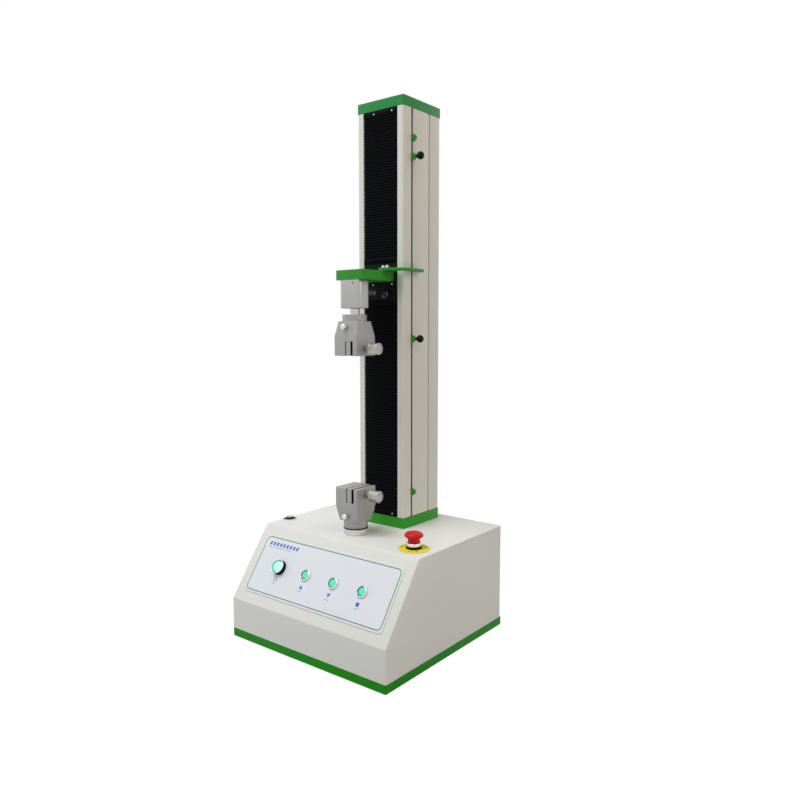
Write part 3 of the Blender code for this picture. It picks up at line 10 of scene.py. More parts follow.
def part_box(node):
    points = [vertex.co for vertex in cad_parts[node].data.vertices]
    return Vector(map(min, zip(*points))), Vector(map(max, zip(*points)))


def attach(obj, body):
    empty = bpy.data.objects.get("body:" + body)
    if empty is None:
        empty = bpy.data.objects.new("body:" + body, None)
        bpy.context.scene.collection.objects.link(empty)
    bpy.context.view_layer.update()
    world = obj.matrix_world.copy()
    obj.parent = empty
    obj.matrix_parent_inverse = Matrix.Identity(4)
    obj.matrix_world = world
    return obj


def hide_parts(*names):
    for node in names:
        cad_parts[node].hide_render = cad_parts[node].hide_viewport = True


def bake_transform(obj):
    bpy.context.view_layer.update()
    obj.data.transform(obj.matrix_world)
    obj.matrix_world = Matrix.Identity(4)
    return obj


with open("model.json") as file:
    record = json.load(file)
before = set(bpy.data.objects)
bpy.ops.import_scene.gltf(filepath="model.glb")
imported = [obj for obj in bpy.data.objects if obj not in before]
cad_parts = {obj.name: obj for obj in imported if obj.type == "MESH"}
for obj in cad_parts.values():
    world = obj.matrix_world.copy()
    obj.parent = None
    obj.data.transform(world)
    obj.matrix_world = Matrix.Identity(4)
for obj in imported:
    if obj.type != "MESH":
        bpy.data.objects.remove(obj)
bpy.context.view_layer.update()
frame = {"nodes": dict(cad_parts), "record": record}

scene = bpy.context.scene
scene.view_settings.view_transform = "Standard"


# The viewpoint
# The photograph looks down on the tester's front from its right, from about a metre and a half away.

lens = bpy.data.cameras.new("front_right_lens")
lens.lens = 32.654
lens.sensor_width = 36
lens.clip_end = 50
camera = bpy.data.objects.new("front_right_camera", lens)
camera.location = (0.9460, -1.1064, 0.6233)
camera.rotation_euler = (radians(90 - 5.498), 0, radians(38.05))
scene.collection.objects.link(camera)
scene.camera = camera


# The studio
# A white floor and backdrop under even light. The key lamp hangs above and a little to the left of the
# front, as the bright slope and top of the real base show, and a weaker, warmer one fills the right side.

def node_web(tree, kind, **values):
    """A shader node with some of its properties and inputs set."""
    made = tree.nodes.new(kind)
    for key, value in values.items():
        if hasattr(made, key):
            setattr(made, key, value)
        else:
            made.inputs[key.replace("_", " ")].default_value = value
    return made


def seen_directly(tree):
    """A socket that is 1 for rays that show the backdrop: from the lens, off gloss or through glass."""
    path = node_web(tree, "ShaderNodeLightPath")
    first = node_web(tree, "ShaderNodeMath", operation="MAXIMUM")
    both = node_web(tree, "ShaderNodeMath", operation="MAXIMUM")
    tree.links.new(path.outputs["Is Camera Ray"], first.inputs[0])
    tree.links.new(path.outputs["Is Glossy Ray"], first.inputs[1])
    tree.links.new(first.outputs[0], both.inputs[0])
    tree.links.new(path.outputs["Is Transmission Ray"], both.inputs[1])
    return both.outputs[0]


world = bpy.data.worlds.new("white_studio")
world.use_nodes = True
scene.world = world
sky = world.node_tree
sky.nodes["Background"].inputs["Color"].default_value = (1, 1, 1, 1)
sky_level = node_web(sky, "ShaderNodeMapRange", To_Min=0.36, To_Max=1.0)
sky.links.new(seen_directly(sky), sky_level.inputs["Value"])
sky.links.new(sky_level.outputs[0], sky.nodes["Background"].inputs["Strength"])

edge = 15
floor_mesh = bpy.data.meshes.new("studio_floor")
floor_mesh.from_pydata([(-edge, -edge, 0), (edge, -edge, 0), (edge, edge, 0), (-edge, edge, 0)], [],
                       [(0, 1, 2, 3)])
floor = bpy.data.objects.new("studio_floor", floor_mesh)
scene.collection.objects.link(floor)
floor_white = bpy.data.materials.new("studio_floor_white")
floor_white.use_nodes = True
web = floor_white.node_tree
paint = web.nodes["Principled BSDF"]
paint.inputs["Base Color"].default_value = (0.60, 0.60, 0.60, 1)
paint.inputs["Roughness"].default_value = 0.9
paint.inputs["Specular IOR Level"].default_value = 0.1
glow = node_web(web, "ShaderNodeEmission", Strength=1.27)
share = node_web(web, "ShaderNodeMath", operation="MULTIPLY")
share.inputs[1].default_value = 0.76
mix = node_web(web, "ShaderNodeMixShader")
web.links.new(seen_directly(web), share.inputs[0])
web.links.new(share.outputs[0], mix.inputs[0])
web.links.new(paint.outputs[0], mix.inputs[1])
web.links.new(glow.outputs[0], mix.inputs[2])
web.links.new(mix.outputs[0], web.nodes["Material Output"].inputs["Surface"])
floor_mesh.materials.append(floor_white)

for lamp_name, power, tint, side, place in (
    ("key_lamp", 63, (0.98, 1.0, 1.0), 1.6, (-0.45, -1.2, 3.35)),
    ("left_fill", 7, (0.97, 0.99, 1.0), 1.4, (-2.6, -0.9, 1.3)),
    ("right_fill", 7.2, (1.0, 0.80, 0.56), 1.2, (1.8, 0.1, 1.8)),
    ("rear_fill", 8, (1.0, 0.98, 0.95), 1.4, (0.6, 2.7, 1.9)),
):
    lamp_data = bpy.data.lights.new(lamp_name, "AREA")
    lamp_data.energy = power
    lamp_data.color = tint
    lamp_data.size = side
    lamp = bpy.data.objects.new(lamp_name, lamp_data)
    lamp.location = place
    lamp.rotation_euler = (Vector(place) - Vector((0, 0, 0.5))).to_track_quat("Z", "Y").to_euler()
    scene.collection.objects.link(lamp)


# Rubber feet
# Four moulded rubber feet, a little dusty. Each has a hole up the middle, through which it is screwed under
# the tray.

def colour(red, green, blue):
    """A screen colour of 0 to 255 as linear light: ((c + 0.055) / 1.055) ** 2.4, or c / 12.92 when dark."""
    c = np.array((red, green, blue)) / 255
    return tuple(np.where(c <= 0.04045, c / 12.92, ((c + 0.055) / 1.055) ** 2.4)) + (1.0,)


def finish(name, base, rough, metal=0.0, grain=900.0, stretch=(1, 1, 1), bump=0.05, mottle=0.05,
           spread=0.06, cloud=11.0, **sockets):
    """A worked surface. A cloud of soft noise shifts the colour by mottle each way. A fine noise of grain
    cells a metre, drawn out by stretch, shifts the roughness by spread and lifts the surface."""
    made = bpy.data.materials.new(name)
    made.use_nodes = True
    tree = made.node_tree
    skin = tree.nodes["Principled BSDF"]
    skin.inputs["Metallic"].default_value = metal
    for key, value in sockets.items():
        skin.inputs[key.replace("_", " ")].default_value = value
    where = node_web(tree, "ShaderNodeTexCoord")
    drawn = node_web(tree, "ShaderNodeMapping", Scale=stretch)
    fine = node_web(tree, "ShaderNodeTexNoise", Scale=grain, Detail=3.0)
    soft = node_web(tree, "ShaderNodeTexNoise", Scale=cloud, Detail=5.0, Roughness=0.6)
    tree.links.new(where.outputs["Object"], drawn.inputs["Vector"])
    tree.links.new(drawn.outputs[0], fine.inputs["Vector"])
    tree.links.new(where.outputs["Object"], soft.inputs["Vector"])
    # A mix of colours takes its share at input 0 and the colours at 6 and 7, and gives one at output 2.
    tint = node_web(tree, "ShaderNodeMix", data_type="RGBA")
    shade = np.array(base[:3])
    tint.inputs[6].default_value = (*(shade * (1 - mottle)), 1)
    tint.inputs[7].default_value = (*np.minimum(shade * (1 + mottle), 1), 1)
    tree.links.new(soft.outputs["Fac"], tint.inputs[0])
    tree.links.new(tint.outputs[2], skin.inputs["Base Color"])
    both = node_web(tree, "ShaderNodeMath", operation="ADD")
    tree.links.new(fine.outputs["Fac"], both.inputs[0])
    tree.links.new(soft.outputs["Fac"], both.inputs[1])
    span = node_web(tree, "ShaderNodeMapRange", From_Min=0.6, From_Max=1.4, To_Min=rough - spread,
                    To_Max=rough + spread)
    tree.links.new(both.outputs[0], span.inputs["Value"])
    tree.links.new(span.outputs[0], skin.inputs["Roughness"])
    lift = node_web(tree, "ShaderNodeBump", Strength=min(1.0, bump * 4), Distance=0.0001)
    tree.links.new(fine.outputs["Fac"], lift.inputs["Height"])
    tree.links.new(lift.outputs[0], skin.inputs["Normal"])
    return made


home = {node: body for body, held in frame["record"]["behaviour"]["bodies"].items() for node in held}


def settle(piece, material, node):
    """The piece takes its material, rides on the node's body and stands for the node."""
    piece.data.materials.clear()
    piece.data.materials.append(material)
    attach(piece, home[node])
    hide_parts(node)


def rounded_edges(piece, width, degrees):
    """Each edge that turns by more than an angle gets a two-step rounding of the width."""
    rounding = piece.modifiers.new("rounded_edges", "BEVEL")
    rounding.width = width
    rounding.segments = 2
    rounding.limit_method = "ANGLE"
    rounding.angle_limit = radians(degrees)
    rounding.harden_normals = True


def edged(node, width, material, ending):
    """The node's own form as one skin, its coplanar triangles joined and its sharp edges rounded to the
    width. It takes the node's place on the same body."""
    skin = frame["nodes"][node].data.copy()
    skin.name = f"{node}_{ending}"
    work = bmesh.new()
    work.from_mesh(skin)
    bmesh.ops.remove_doubles(work, verts=work.verts, dist=2e-6)
    bmesh.ops.dissolve_limit(work, angle_limit=radians(0.4), verts=work.verts, edges=work.edges)
    work.to_mesh(skin)
    work.free()
    if skin.has_custom_normals:
        skin.normals_split_custom_set([(0, 0, 0)] * len(skin.loops))
    piece = bpy.data.objects.new(skin.name, skin)
    scene.collection.objects.link(piece)
    rounded_edges(piece, width, 30)
    skin.shade_smooth()
    skin.set_sharp_from_angle(angle=radians(40))
    settle(piece, material, node)


foot_rubber = finish("foot_rubber", colour(38, 38, 40), 0.82, grain=500, bump=0.16, mottle=0.2)
for node in ("foot_front_left", "foot_front_right", "foot_rear_left", "foot_rear_right"):
    edged(node, 0.0003, foot_rubber, "moulding")


# Tray and base cover
# A shallow folded tray in bright leaf green powder coat, and on it one steel sheet, cut and folded into
# the sloping housing, sprayed in a warm white with a fine orange-peel skin.

leaf_green = finish("leaf_green_powder_coat", colour(44, 146, 34), 0.5, grain=1300, bump=0.10, mottle=0.06,
                    Specular_IOR_Level=0.3)
warm_white = finish("warm_white_powder_coat", colour(230, 230, 226), 0.5, grain=1500, bump=0.10,
                    mottle=0.012, spread=0.05, cloud=4.0, Specular_IOR_Level=0.35)
tray_green = finish("tray_green_powder_coat", colour(24, 141, 10), 0.5, grain=1300, bump=0.10, mottle=0.06,
                    Specular_IOR_Level=0.12)
edged("base_tray", 0.0012, tray_green, "green_sheet")
edged("base_cover", 0.0005, warm_white, "white_sheet")


# Deck, blocks, rods and drive
# A painted steel deck on four legs. Ground rods and a ball screw run between two machined blocks, and a
# motor under the deck turns the screw through a coupling.

deck_black = finish("deck_black_paint", colour(44, 45, 48), 0.5, grain=700, bump=0.12, mottle=0.15)
ground_steel = finish("ground_steel", (0.55, 0.56, 0.57, 1), 0.2, 1.0, grain=500, stretch=(1, 1, 8),
                      bump=0.02)
milled_steel = finish("milled_steel", (0.20, 0.20, 0.21, 1), 0.42, 1.0, grain=700, stretch=(1, 6, 1),
                      bump=0.08)
motor_black = finish("motor_black_paint", colour(34, 34, 37), 0.45, grain=800, bump=0.08, mottle=0.1)
for node, material, width in (
    ("base_deck", deck_black, 0.0008), ("column_foot_plate", milled_steel, 0.0006),
    ("column_head_plate", milled_steel, 0.0006), ("guide_rod_left", ground_steel, 0.0008),
    ("guide_rod_right", ground_steel, 0.0008), ("drive_screw", ground_steel, 0.0003),
    ("shaft_coupling", ground_steel, 0.0004), ("motor", motor_black, 0.0010),
    ("limit_rod", ground_steel, 0.0003),
):
    edged(node, width, material, "metal")


# Column skins, collar and cap
# Long folded and extruded strips in a cream powder coat, cut square. They stand in a green collar at the
# foot, under a green folded cap.

column_cream = finish("column_cream_coat", colour(229, 227, 219), 0.5, grain=1500, bump=0.09, mottle=0.014,
                      spread=0.05, cloud=3.0, Specular_IOR_Level=0.4)
cap_green = finish("cap_green_powder_coat", colour(32, 138, 62), 0.5, grain=1300, bump=0.10, mottle=0.06,
                   Specular_IOR_Level=0.3)
for node in ("column_profile_left", "column_profile_right", "side_cover_left", "side_cover_right",
             "column_back_cover"):
    edged(node, 0.0004, column_cream, "skin")
# The collar's green is the arm's powder coat made lighter: painted light against the shade that the column
# and the overhead key lamp leave on it.
collar_paint_lightened_for_shade = finish("collar_green_painted_lighter", colour(48, 160, 38), 0.5, grain=1300, bump=0.10,
                      mottle=0.06, Specular_IOR_Level=0.3)
edged("column_collar", 0.0006, collar_paint_lightened_for_shade, "green_band")
edged("column_cap", 0.0005, cap_green, "green_lid")


# Crosshead
# A milled black slider with a front plate that closes the gap between the bellows. A green arm and an
# angled green trip plate are screwed to it.

plate_black = finish("front_plate_black", colour(15, 16, 20), 0.72, grain=1100, bump=0.12, mottle=0.15,
                     Specular_IOR_Level=0.12)
edged("carriage", 0.0005, plate_black, "black_block")
edged("crosshead_arm", 0.0006, leaf_green, "green_block")
edged("trip_plate", 0.0007, leaf_green, "green_plate")


# Bellows
# Coated black fabric, folded into pleats on stiffeners, with a flat frame at each end.

def surface(name, grid, round_u=False, round_v=False, sharp=32):
    """A mesh on a grid of points, a quad for each step of u and v. It closes on itself where asked, and
    points that coincide, as at a pole or seam, are merged."""
    rows, columns = grid.shape[:2]
    index = np.arange(rows * columns).reshape(rows, columns)
    if round_u:
        index = np.concatenate([index, index[:1]], 0)
    if round_v:
        index = np.concatenate([index, index[:, :1]], 1)
    corners = [index[:-1, :-1], index[1:, :-1], index[1:, 1:], index[:-1, 1:]]
    skin = bpy.data.meshes.new(name)
    skin.from_pydata(grid.reshape(-1, 3).tolist(), [], np.stack(corners, -1).reshape(-1, 4).tolist())
    work = bmesh.new()
    work.from_mesh(skin)
    bmesh.ops.remove_doubles(work, verts=work.verts, dist=1e-6)
    bmesh.ops.recalc_face_normals(work, faces=work.faces)
    work.to_mesh(skin)
    work.free()
    skin.shade_smooth()
    skin.set_sharp_from_angle(angle=radians(sharp))
    piece = bpy.data.objects.new(name, skin)
    scene.collection.objects.link(piece)
    return piece


def keep_modifiers(piece):
    """The piece's mesh becomes what its modifiers make of it."""
    bpy.context.view_layer.update()
    made = bpy.data.meshes.new_from_object(piece.evaluated_get(bpy.context.evaluated_depsgraph_get()))
    piece.modifiers.clear()
    piece.data = made


def pleats(node):
    """A U-shaped section, front and two sides, carried up z. Its distance in from the crest is a triangle
    wave of z with softened folds: depth * (1 - |2 * frac(z / pitch) - 1| ** 1.15)."""
    low, high = np.array(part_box(node)[0]), np.array(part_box(node)[1])
    band, pitch, depth, cloth = 0.010, 0.0056, 0.0027, 0.0007
    start, stop = low[2] + band, high[2] - band
    count = round((stop - start) / pitch)
    phase = np.linspace(0, count, count * 8 + 1)
    wave = 1 - np.abs(2 * np.mod(phase, 1) - 1) ** 1.15
    heights = np.concatenate([[low[2]], start + (stop - start) * phase / count, [high[2]]])
    inset = np.concatenate([[0.0], wave, [0.0]]) * depth
    half, front, back = high[0] - 0.0002, low[1] + 0.0002, high[1] - 0.0012
    x, y = (half - inset)[:, None], (front + inset)[:, None]
    along, across = np.linspace(0, 1, 5), np.linspace(-1, 1, 33)
    grid = np.stack([
        np.concatenate([-x + 0 * along, x * across, x + 0 * along], 1),
        np.concatenate([back + (y - back) * along, y + 0 * across, y + (back - y) * along], 1),
        heights[:, None] + np.zeros(2 * len(along) + len(across))], -1)
    piece = surface(node + "_pleats", grid, sharp=60)
    wall = piece.modifiers.new("cloth_thickness", "SOLIDIFY")
    wall.thickness = cloth
    # The thickness goes inwards, whichever way the faces came out.
    wall.offset = -1 if piece.data.polygons[len(piece.data.polygons) // 2].normal.y < 0 else 1
    keep_modifiers(piece)
    piece.data.materials.append(bellows_cloth)
    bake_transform(piece)
    points = np.zeros(len(piece.data.vertices) * 3)
    piece.data.vertices.foreach_get("co", points)
    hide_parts(node)


bellows_cloth = finish("bellows_cloth", colour(18, 19, 23), 0.85, grain=1600, bump=0.2, mottle=0.25,
                       cloud=30.0, Specular_IOR_Level=0.04)
pleats("lower_bellows")
pleats("upper_bellows")


# Screws on show
# Pressed button-head screws with a hexagon socket, zinc plated or painted white. They hold the trip plate,
# the arm, the bellows' frames, the front plate and the two rear covers.

def placed(grid, place):
    """Points turned and moved by a 4 x 4 matrix."""
    m = np.array(place)
    return grid @ m[:3, :3].T + m[:3, 3]


def spot(x, y, z, tilt=(0, 0, 0)):
    """A place, and the turn of the piece that stands there about X, then Y, then Z."""
    turn = Matrix.Rotation(tilt[2], 4, "Z") @ Matrix.Rotation(tilt[1], 4, "Y")
    return Matrix.Translation((x, y, z)) @ turn @ Matrix.Rotation(tilt[0], 4, "X")


def spun(r, z, place):
    """Points (r cos a, r sin a, z) for a row of radii at each angle a round the axis, then placed."""
    a = np.linspace(0, tau, len(r), endpoint=False)[:, None]
    return placed(np.stack([r * np.cos(a), r * np.sin(a), np.broadcast_to(z, r.shape)], -1), place)


def fitted(piece, material, body):
    """A small piece that belongs to no node of its own: it takes its material and rides on a body."""
    piece.data.materials.append(material)
    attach(piece, body)


def socket_screw(name, place, body, radius, height, material):
    """A button head: r falls from the rim to the socket on a quarter ellipse. The hexagon socket's wall is
    the bore over the cosine of the angle to the nearest flat."""
    t, bore, turns = np.linspace(0, pi / 2, 7), radius * 0.46, 36
    dome = np.column_stack([radius * (0.55 + 0.45 * np.cos(t)), height * np.sin(t)])
    foot, socket = [(0, 0), (radius * 0.94, 0)], [(bore, height), (bore, height * 0.35), (0, height * 0.35)]
    line = np.concatenate([foot, dome, socket])
    r = np.repeat(line[None, :, 0], turns, 0)
    a = np.linspace(0, tau, turns, endpoint=False)[:, None]
    r[:, -3:-1] = bore * 0.9 / np.cos(np.mod(a, pi / 3) - pi / 6)
    fitted(surface(name, spun(r, line[:, 1], place), round_u=True), material, body)


white_head = finish("white_screw_paint", colour(235, 236, 233), 0.35, grain=900, bump=0.04, mottle=0.02)
zinc_head = finish("zinc_screw_plate", (0.60, 0.61, 0.62, 1), 0.3, 0.8, grain=900, bump=0.05, mottle=0.1)
trip_top, arm_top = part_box("trip_plate")[1][2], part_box("crosshead_arm")[1][2]
cell_low, cell_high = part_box("load_cell")
cell_y = (cell_low[1] + cell_high[1]) / 2
for k, x in enumerate((0.0268, 0.0370)):
    socket_screw(f"trip_screw_{k}", spot(x, 0.0140, trip_top), "crosshead", 0.0034, 0.0052, white_head)
for k, (x, y) in enumerate(((-0.014, -0.007), (0.014, -0.007), (0.014, 0.007), (-0.014, 0.007))):
    socket_screw(f"arm_bolt_{k}", spot(x, cell_y + y, arm_top - 0.0059), "crosshead", 0.0043, 0.0044,
                 zinc_head)
frame_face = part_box("upper_bellows")[0][1] + 0.0002
plate_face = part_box("carriage")[0][1]
arm_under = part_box("crosshead_arm")[0][2]
for word, left, y, z, body in (
    ("upper_frame", -0.0165, frame_face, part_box("upper_bellows")[1][2] - 0.006, "stand"),
    ("lower_frame", -0.0195, frame_face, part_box("lower_bellows")[0][2] + 0.005, "stand"),
    ("plate", -0.0195, plate_face, arm_under - 0.0047, "crosshead"),
):
    for k, x in enumerate((left, 0.0295)):
        socket_screw(f"{word}_screw_{k}", spot(x, y, z, (pi / 2, 0, 0)), body, 0.0019, 0.0011, zinc_head)
back_face, rear_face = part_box("column_back_cover")[1][1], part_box("base_cover")[1][1]
for k, (x, z) in enumerate((x, z) for x in (-0.045, 0.045) for z in (0.262, 0.52, 0.78, 1.036)):
    socket_screw(f"back_screw_{k}", spot(x, back_face, z, (-pi / 2, 0, 0)), "stand", 0.0034, 0.0019,
                 zinc_head)
for k, (x, z) in enumerate((x, z) for x in (-0.185, 0.185) for z in (0.036, 0.204)):
    socket_screw(f"cover_screw_{k}", spot(x, rear_face, z, (-pi / 2, 0, 0)), "stand", 0.0038, 0.0021,
                 zinc_head)


# Control panel
# A thin white plate stuck on the slope, with a printed silver field in a green line. A row of blue strokes
# over a rule stands as its heading, and each button has a plain blue sign and a short rule under it.

def flat_shape(name, outline, thick, place, hole=None):
    """A thin plate: the outline at 0 and at its thickness, drawn in to its centre, or to a hole's outline
    of as many points, on both faces."""
    o = np.array(outline, float)
    inner = np.repeat(o.mean(0)[None], len(o), 0) if hole is None else np.array(hole, float)
    rings = [(inner, 0), (o, 0), (o, thick), (inner, thick)] + ([(inner, 0)] if hole is not None else [])
    grid = np.stack([np.column_stack([ring, np.full(len(ring), z)]) for ring, z in rings], 1)
    return surface(name, placed(grid, place), round_u=True, sharp=30)


def round_box(x0, x1, y0, y1, r, steps=8, hold=0.0):
    """A rectangle whose corners are quarter circles, centre + r (cos a, sin a), with a point on the flat
    a little before and after each."""
    a = np.linspace(0, pi / 2, steps)
    arc = np.concatenate([[(r, -hold)], np.column_stack([r * np.cos(a), r * np.sin(a)]), [(-hold, r)]])
    arc = arc if hold else arc[1:-1]
    corners = []
    for q, (cx, cy) in enumerate(((x1 - r, y1 - r), (x0 + r, y1 - r), (x0 + r, y0 + r), (x1 - r, y0 + r))):
        c, s = cos(q * pi / 2), sin(q * pi / 2)
        corners.append(arc @ np.array([(c, s), (-s, c)]) + (cx, cy))
    return np.concatenate(corners)


slope_front, slope_foot, slope_rise, slope_run = -0.1925, 0.084, 0.135, 0.095
slope = spot(0, slope_front, slope_foot, (atan2(slope_rise, slope_run), 0, 0))
plate_white = finish("white_panel_film", colour(232, 233, 231), 0.40, grain=2600, bump=0.05, mottle=0.012,
                     spread=0.05)
panel_film = finish("silver_panel_film", colour(231, 235, 242), 0.36, grain=2600, bump=0.05, mottle=0.015,
                    spread=0.05)
line_teal = finish("printed_line_teal", colour(34, 134, 104), 0.4, grain=3000, bump=0.02, mottle=0.05)
sign_blue = finish("printed_sign_blue", colour(58, 100, 206), 0.4, grain=3000, bump=0.02, mottle=0.05)
edged("control_plate", 0.0002, plate_white, "white_film")
printed = slope @ Matrix.Translation((0, 0, 0.0015))
inside = round_box(-0.1742, 0.1742, 0.0278, 0.1378, 0.0076)
line = flat_shape("panel_border_line", round_box(-0.1760, 0.1760, 0.0260, 0.1396, 0.0094), 0.00006, printed,
                  inside)
fitted(line, line_teal, "stand")
fitted(flat_shape("panel_silver_field", inside, 0.00002, printed), panel_film, "stand")


def sign(name, outline, x, y, hole=None):
    """A printed sign on the film, at x across and y up the slope."""
    mark = flat_shape(name, outline, 0.00005, printed @ Matrix.Translation((x, y, 0)), hole)
    fitted(mark, sign_blue, "stand")


def bar(width, height, lean=0.0):
    """A rectangle, or with a lean a slanted one, about its middle."""
    x, y = width / 2, height / 2
    return np.array([(-x - lean, -y), (x - lean, -y), (x + lean, y), (-x + lean, y)])


def arc_outline(inner, outer, start, stop):
    """A part of a ring as an outer and an inner line of equal length, which join at its ends."""
    a = np.linspace(start, stop, 24)
    there = np.column_stack([np.cos(a), np.sin(a)])
    back = there[::-1]
    return np.concatenate([there * outer, back * inner]), np.concatenate([there, back]) * (inner + outer) / 2


key_x, key_y, sign_y = (-0.108, -0.036, 0.036, 0.108), 0.0825, 0.0585
ring, ring_middle = arc_outline(0.0030, 0.0044, radians(125), radians(415))
sign("power_sign_arc", ring, key_x[0], sign_y, ring_middle)
sign("power_sign_bar", bar(0.0013, 0.0050), key_x[0], sign_y + 0.0032)
sign("up_sign", [(-0.0046, -0.0038), (0.0046, -0.0038), (0, 0.0042)], key_x[1], sign_y)
sign("down_sign", [(-0.0046, 0.0038), (0, -0.0042), (0.0046, 0.0038)], key_x[2], sign_y)
sign("stop_sign", bar(0.0076, 0.0076), key_x[3], sign_y)
for k, x in enumerate(key_x):
    sign(f"sign_rule_{k}", bar(0.0100, 0.0009), x, sign_y - 0.0084)
for k in range(9):
    sign(f"heading_stripe_{k}", bar(0.0054, 0.0074, 0.0011), -0.1600 + k * 0.0094, 0.1262)
sign("heading_rule", bar(0.0640, 0.0008), -0.1310, 0.1188)


# Lit buttons
# A raised power button and three flush keys: turned, polished bezels with a clear green lens in them,
# lit from behind. The glow is brightest low and to the right; the dimmer upper left is painted shade.

def softened(profile, radius, steps=5):
    """The polyline with each corner replaced by a curve from radius before it to radius after it:
    (1-t)^2 a + 2t(1-t) c + t^2 b. A short leg gives less than half of its length."""
    p = np.array(profile, float)
    corner, before, after = p[1:-1], p[:-2] - p[1:-1], p[2:] - p[1:-1]
    long_a, long_b = np.linalg.norm(before, axis=1), np.linalg.norm(after, axis=1)
    a = corner + before * (np.minimum(radius, 0.45 * long_a) / np.maximum(long_a, 1e-9))[:, None]
    b = corner + after * (np.minimum(radius, 0.45 * long_b) / np.maximum(long_b, 1e-9))[:, None]
    t = np.linspace(0, 1, steps)[None, :, None]
    curve = (1 - t) ** 2 * a[:, None] + 2 * t * (1 - t) * corner[:, None] + t ** 2 * b[:, None]
    return np.concatenate([p[:1], curve.reshape(-1, 2), p[-1:]])


def lathed(name, profile, place, radius=0.0004, turns=72, ring=False, wobble=None):
    """A turned piece: (r, z) points with softened corners go round the axis. A wobble function of the
    angle and z is added to r."""
    line = softened(profile + profile[:1] if ring else profile, radius)
    r = np.repeat(line[None, :, 0], turns, 0)
    if wobble is not None:
        a = np.linspace(0, tau, turns, endpoint=False)[:, None]
        r = r + wobble(a, line[None, :, 1]) * (r > 1e-6)
    return surface(name, spun(r, line[:, 1], place), round_u=True)


def lens_glow_with_painted_shade(name, rim, middle, x, y, z, reach):
    """Green glass that glows: its light eases from the middle colour to the rim colour between half and
    four fifths of reach from a point low and to the right of its middle. The dimmer upper left is painted
    shade of the bezel's inner wall."""
    made = finish(name, [c * 0.35 for c in rim], 0.2, grain=400, bump=0.02, mottle=0.03,
                  Emission_Strength=0.95, Specular_IOR_Level=0.3)
    tree = made.node_tree
    where = node_web(tree, "ShaderNodeTexCoord")
    # The glow's middle sits low and to the right, so the lens's upper left is dimmer: painted shade of the
    # bezel's inner wall.
    glow_middle_place = slope @ Vector((x + reach * 0.28, y - reach * 0.05, z))
    seat = node_web(tree, "ShaderNodeMapping", Location=[-c / reach for c in glow_middle_place],
                    Scale=(1 / reach,) * 3)
    fall = node_web(tree, "ShaderNodeTexGradient", gradient_type="SPHERICAL")
    ease = node_web(tree, "ShaderNodeMapRange", interpolation_type="SMOOTHSTEP", From_Min=0.2, From_Max=0.5)
    tree.links.new(where.outputs["Object"], seat.inputs["Vector"])
    tree.links.new(seat.outputs[0], fall.inputs["Vector"])
    tree.links.new(fall.outputs["Fac"], ease.inputs["Value"])
    light = node_web(tree, "ShaderNodeMix", data_type="RGBA")
    light.inputs[6].default_value = rim
    light.inputs[7].default_value = middle
    tree.links.new(ease.outputs[0], light.inputs[0])
    tree.links.new(light.outputs[2], tree.nodes["Principled BSDF"].inputs["Emission Color"])
    return made


polished = finish("polished_chrome", (0.84, 0.85, 0.86, 1), 0.14, 1.0, grain=500, bump=0.01, mottle=0.02,
                  spread=0.04)
key_chrome = finish("key_ring_chrome", (0.62, 0.63, 0.64, 1), 0.24, 1.0, grain=500, bump=0.01, mottle=0.03,
                    spread=0.05)
satin_black = finish("satin_black_plastic", colour(13, 13, 15), 0.42, grain=1200, bump=0.06, mottle=0.12,
                     Specular_IOR_Level=0.1)
seat_z, barrel_foot, stem_foot = 0.0018, -0.026, -0.021
power_axis = slope @ Matrix.Translation((key_x[0], key_y, 0))
power_top = seat_z + 0.0105
rim_ring = lathed("power_rim_ring", [
    (0.0128, power_top - 0.0026), (0.0138, power_top - 0.0026), (0.0139, power_top - 0.0008),
    (0.0134, power_top), (0.0129, power_top), (0.0128, power_top - 0.0004)], power_axis, 0.0004, 80,
    ring=True)
settle(rim_ring, polished, "power_bezel")
body_tube = lathed("power_body_tube", [
    (0.0099, barrel_foot), (0.0110, barrel_foot), (0.0110, seat_z), (0.0147, seat_z),
    (0.0147, seat_z + 0.0016), (0.0136, seat_z + 0.0022), (0.0136, power_top - 0.0027),
    (0.0128, power_top - 0.0027), (0.0128, power_top - 0.0065), (0.0099, power_top - 0.0065)],
    power_axis, 0.0003, 80, ring=True)
fitted(body_tube, satin_black, "stand")
power_lens = lathed("power_button_lens", [
    (0, stem_foot), (0.0092, stem_foot), (0.0092, power_top - 0.0018), (0.0124, power_top - 0.0016),
    (0.0124, power_top + 0.0012), (0.0104, power_top + 0.0024), (0.0060, power_top + 0.0029),
    (0, power_top + 0.0030)], power_axis, 0.0008, 64)
power_glow = lens_glow_with_painted_shade("power_lens_glow", colour(0, 168, 124), colour(196, 255, 243), key_x[0], key_y,
                      power_top + 0.0020, 0.0158)
settle(power_lens, power_glow, "power_button")
key_top = seat_z + 0.0042
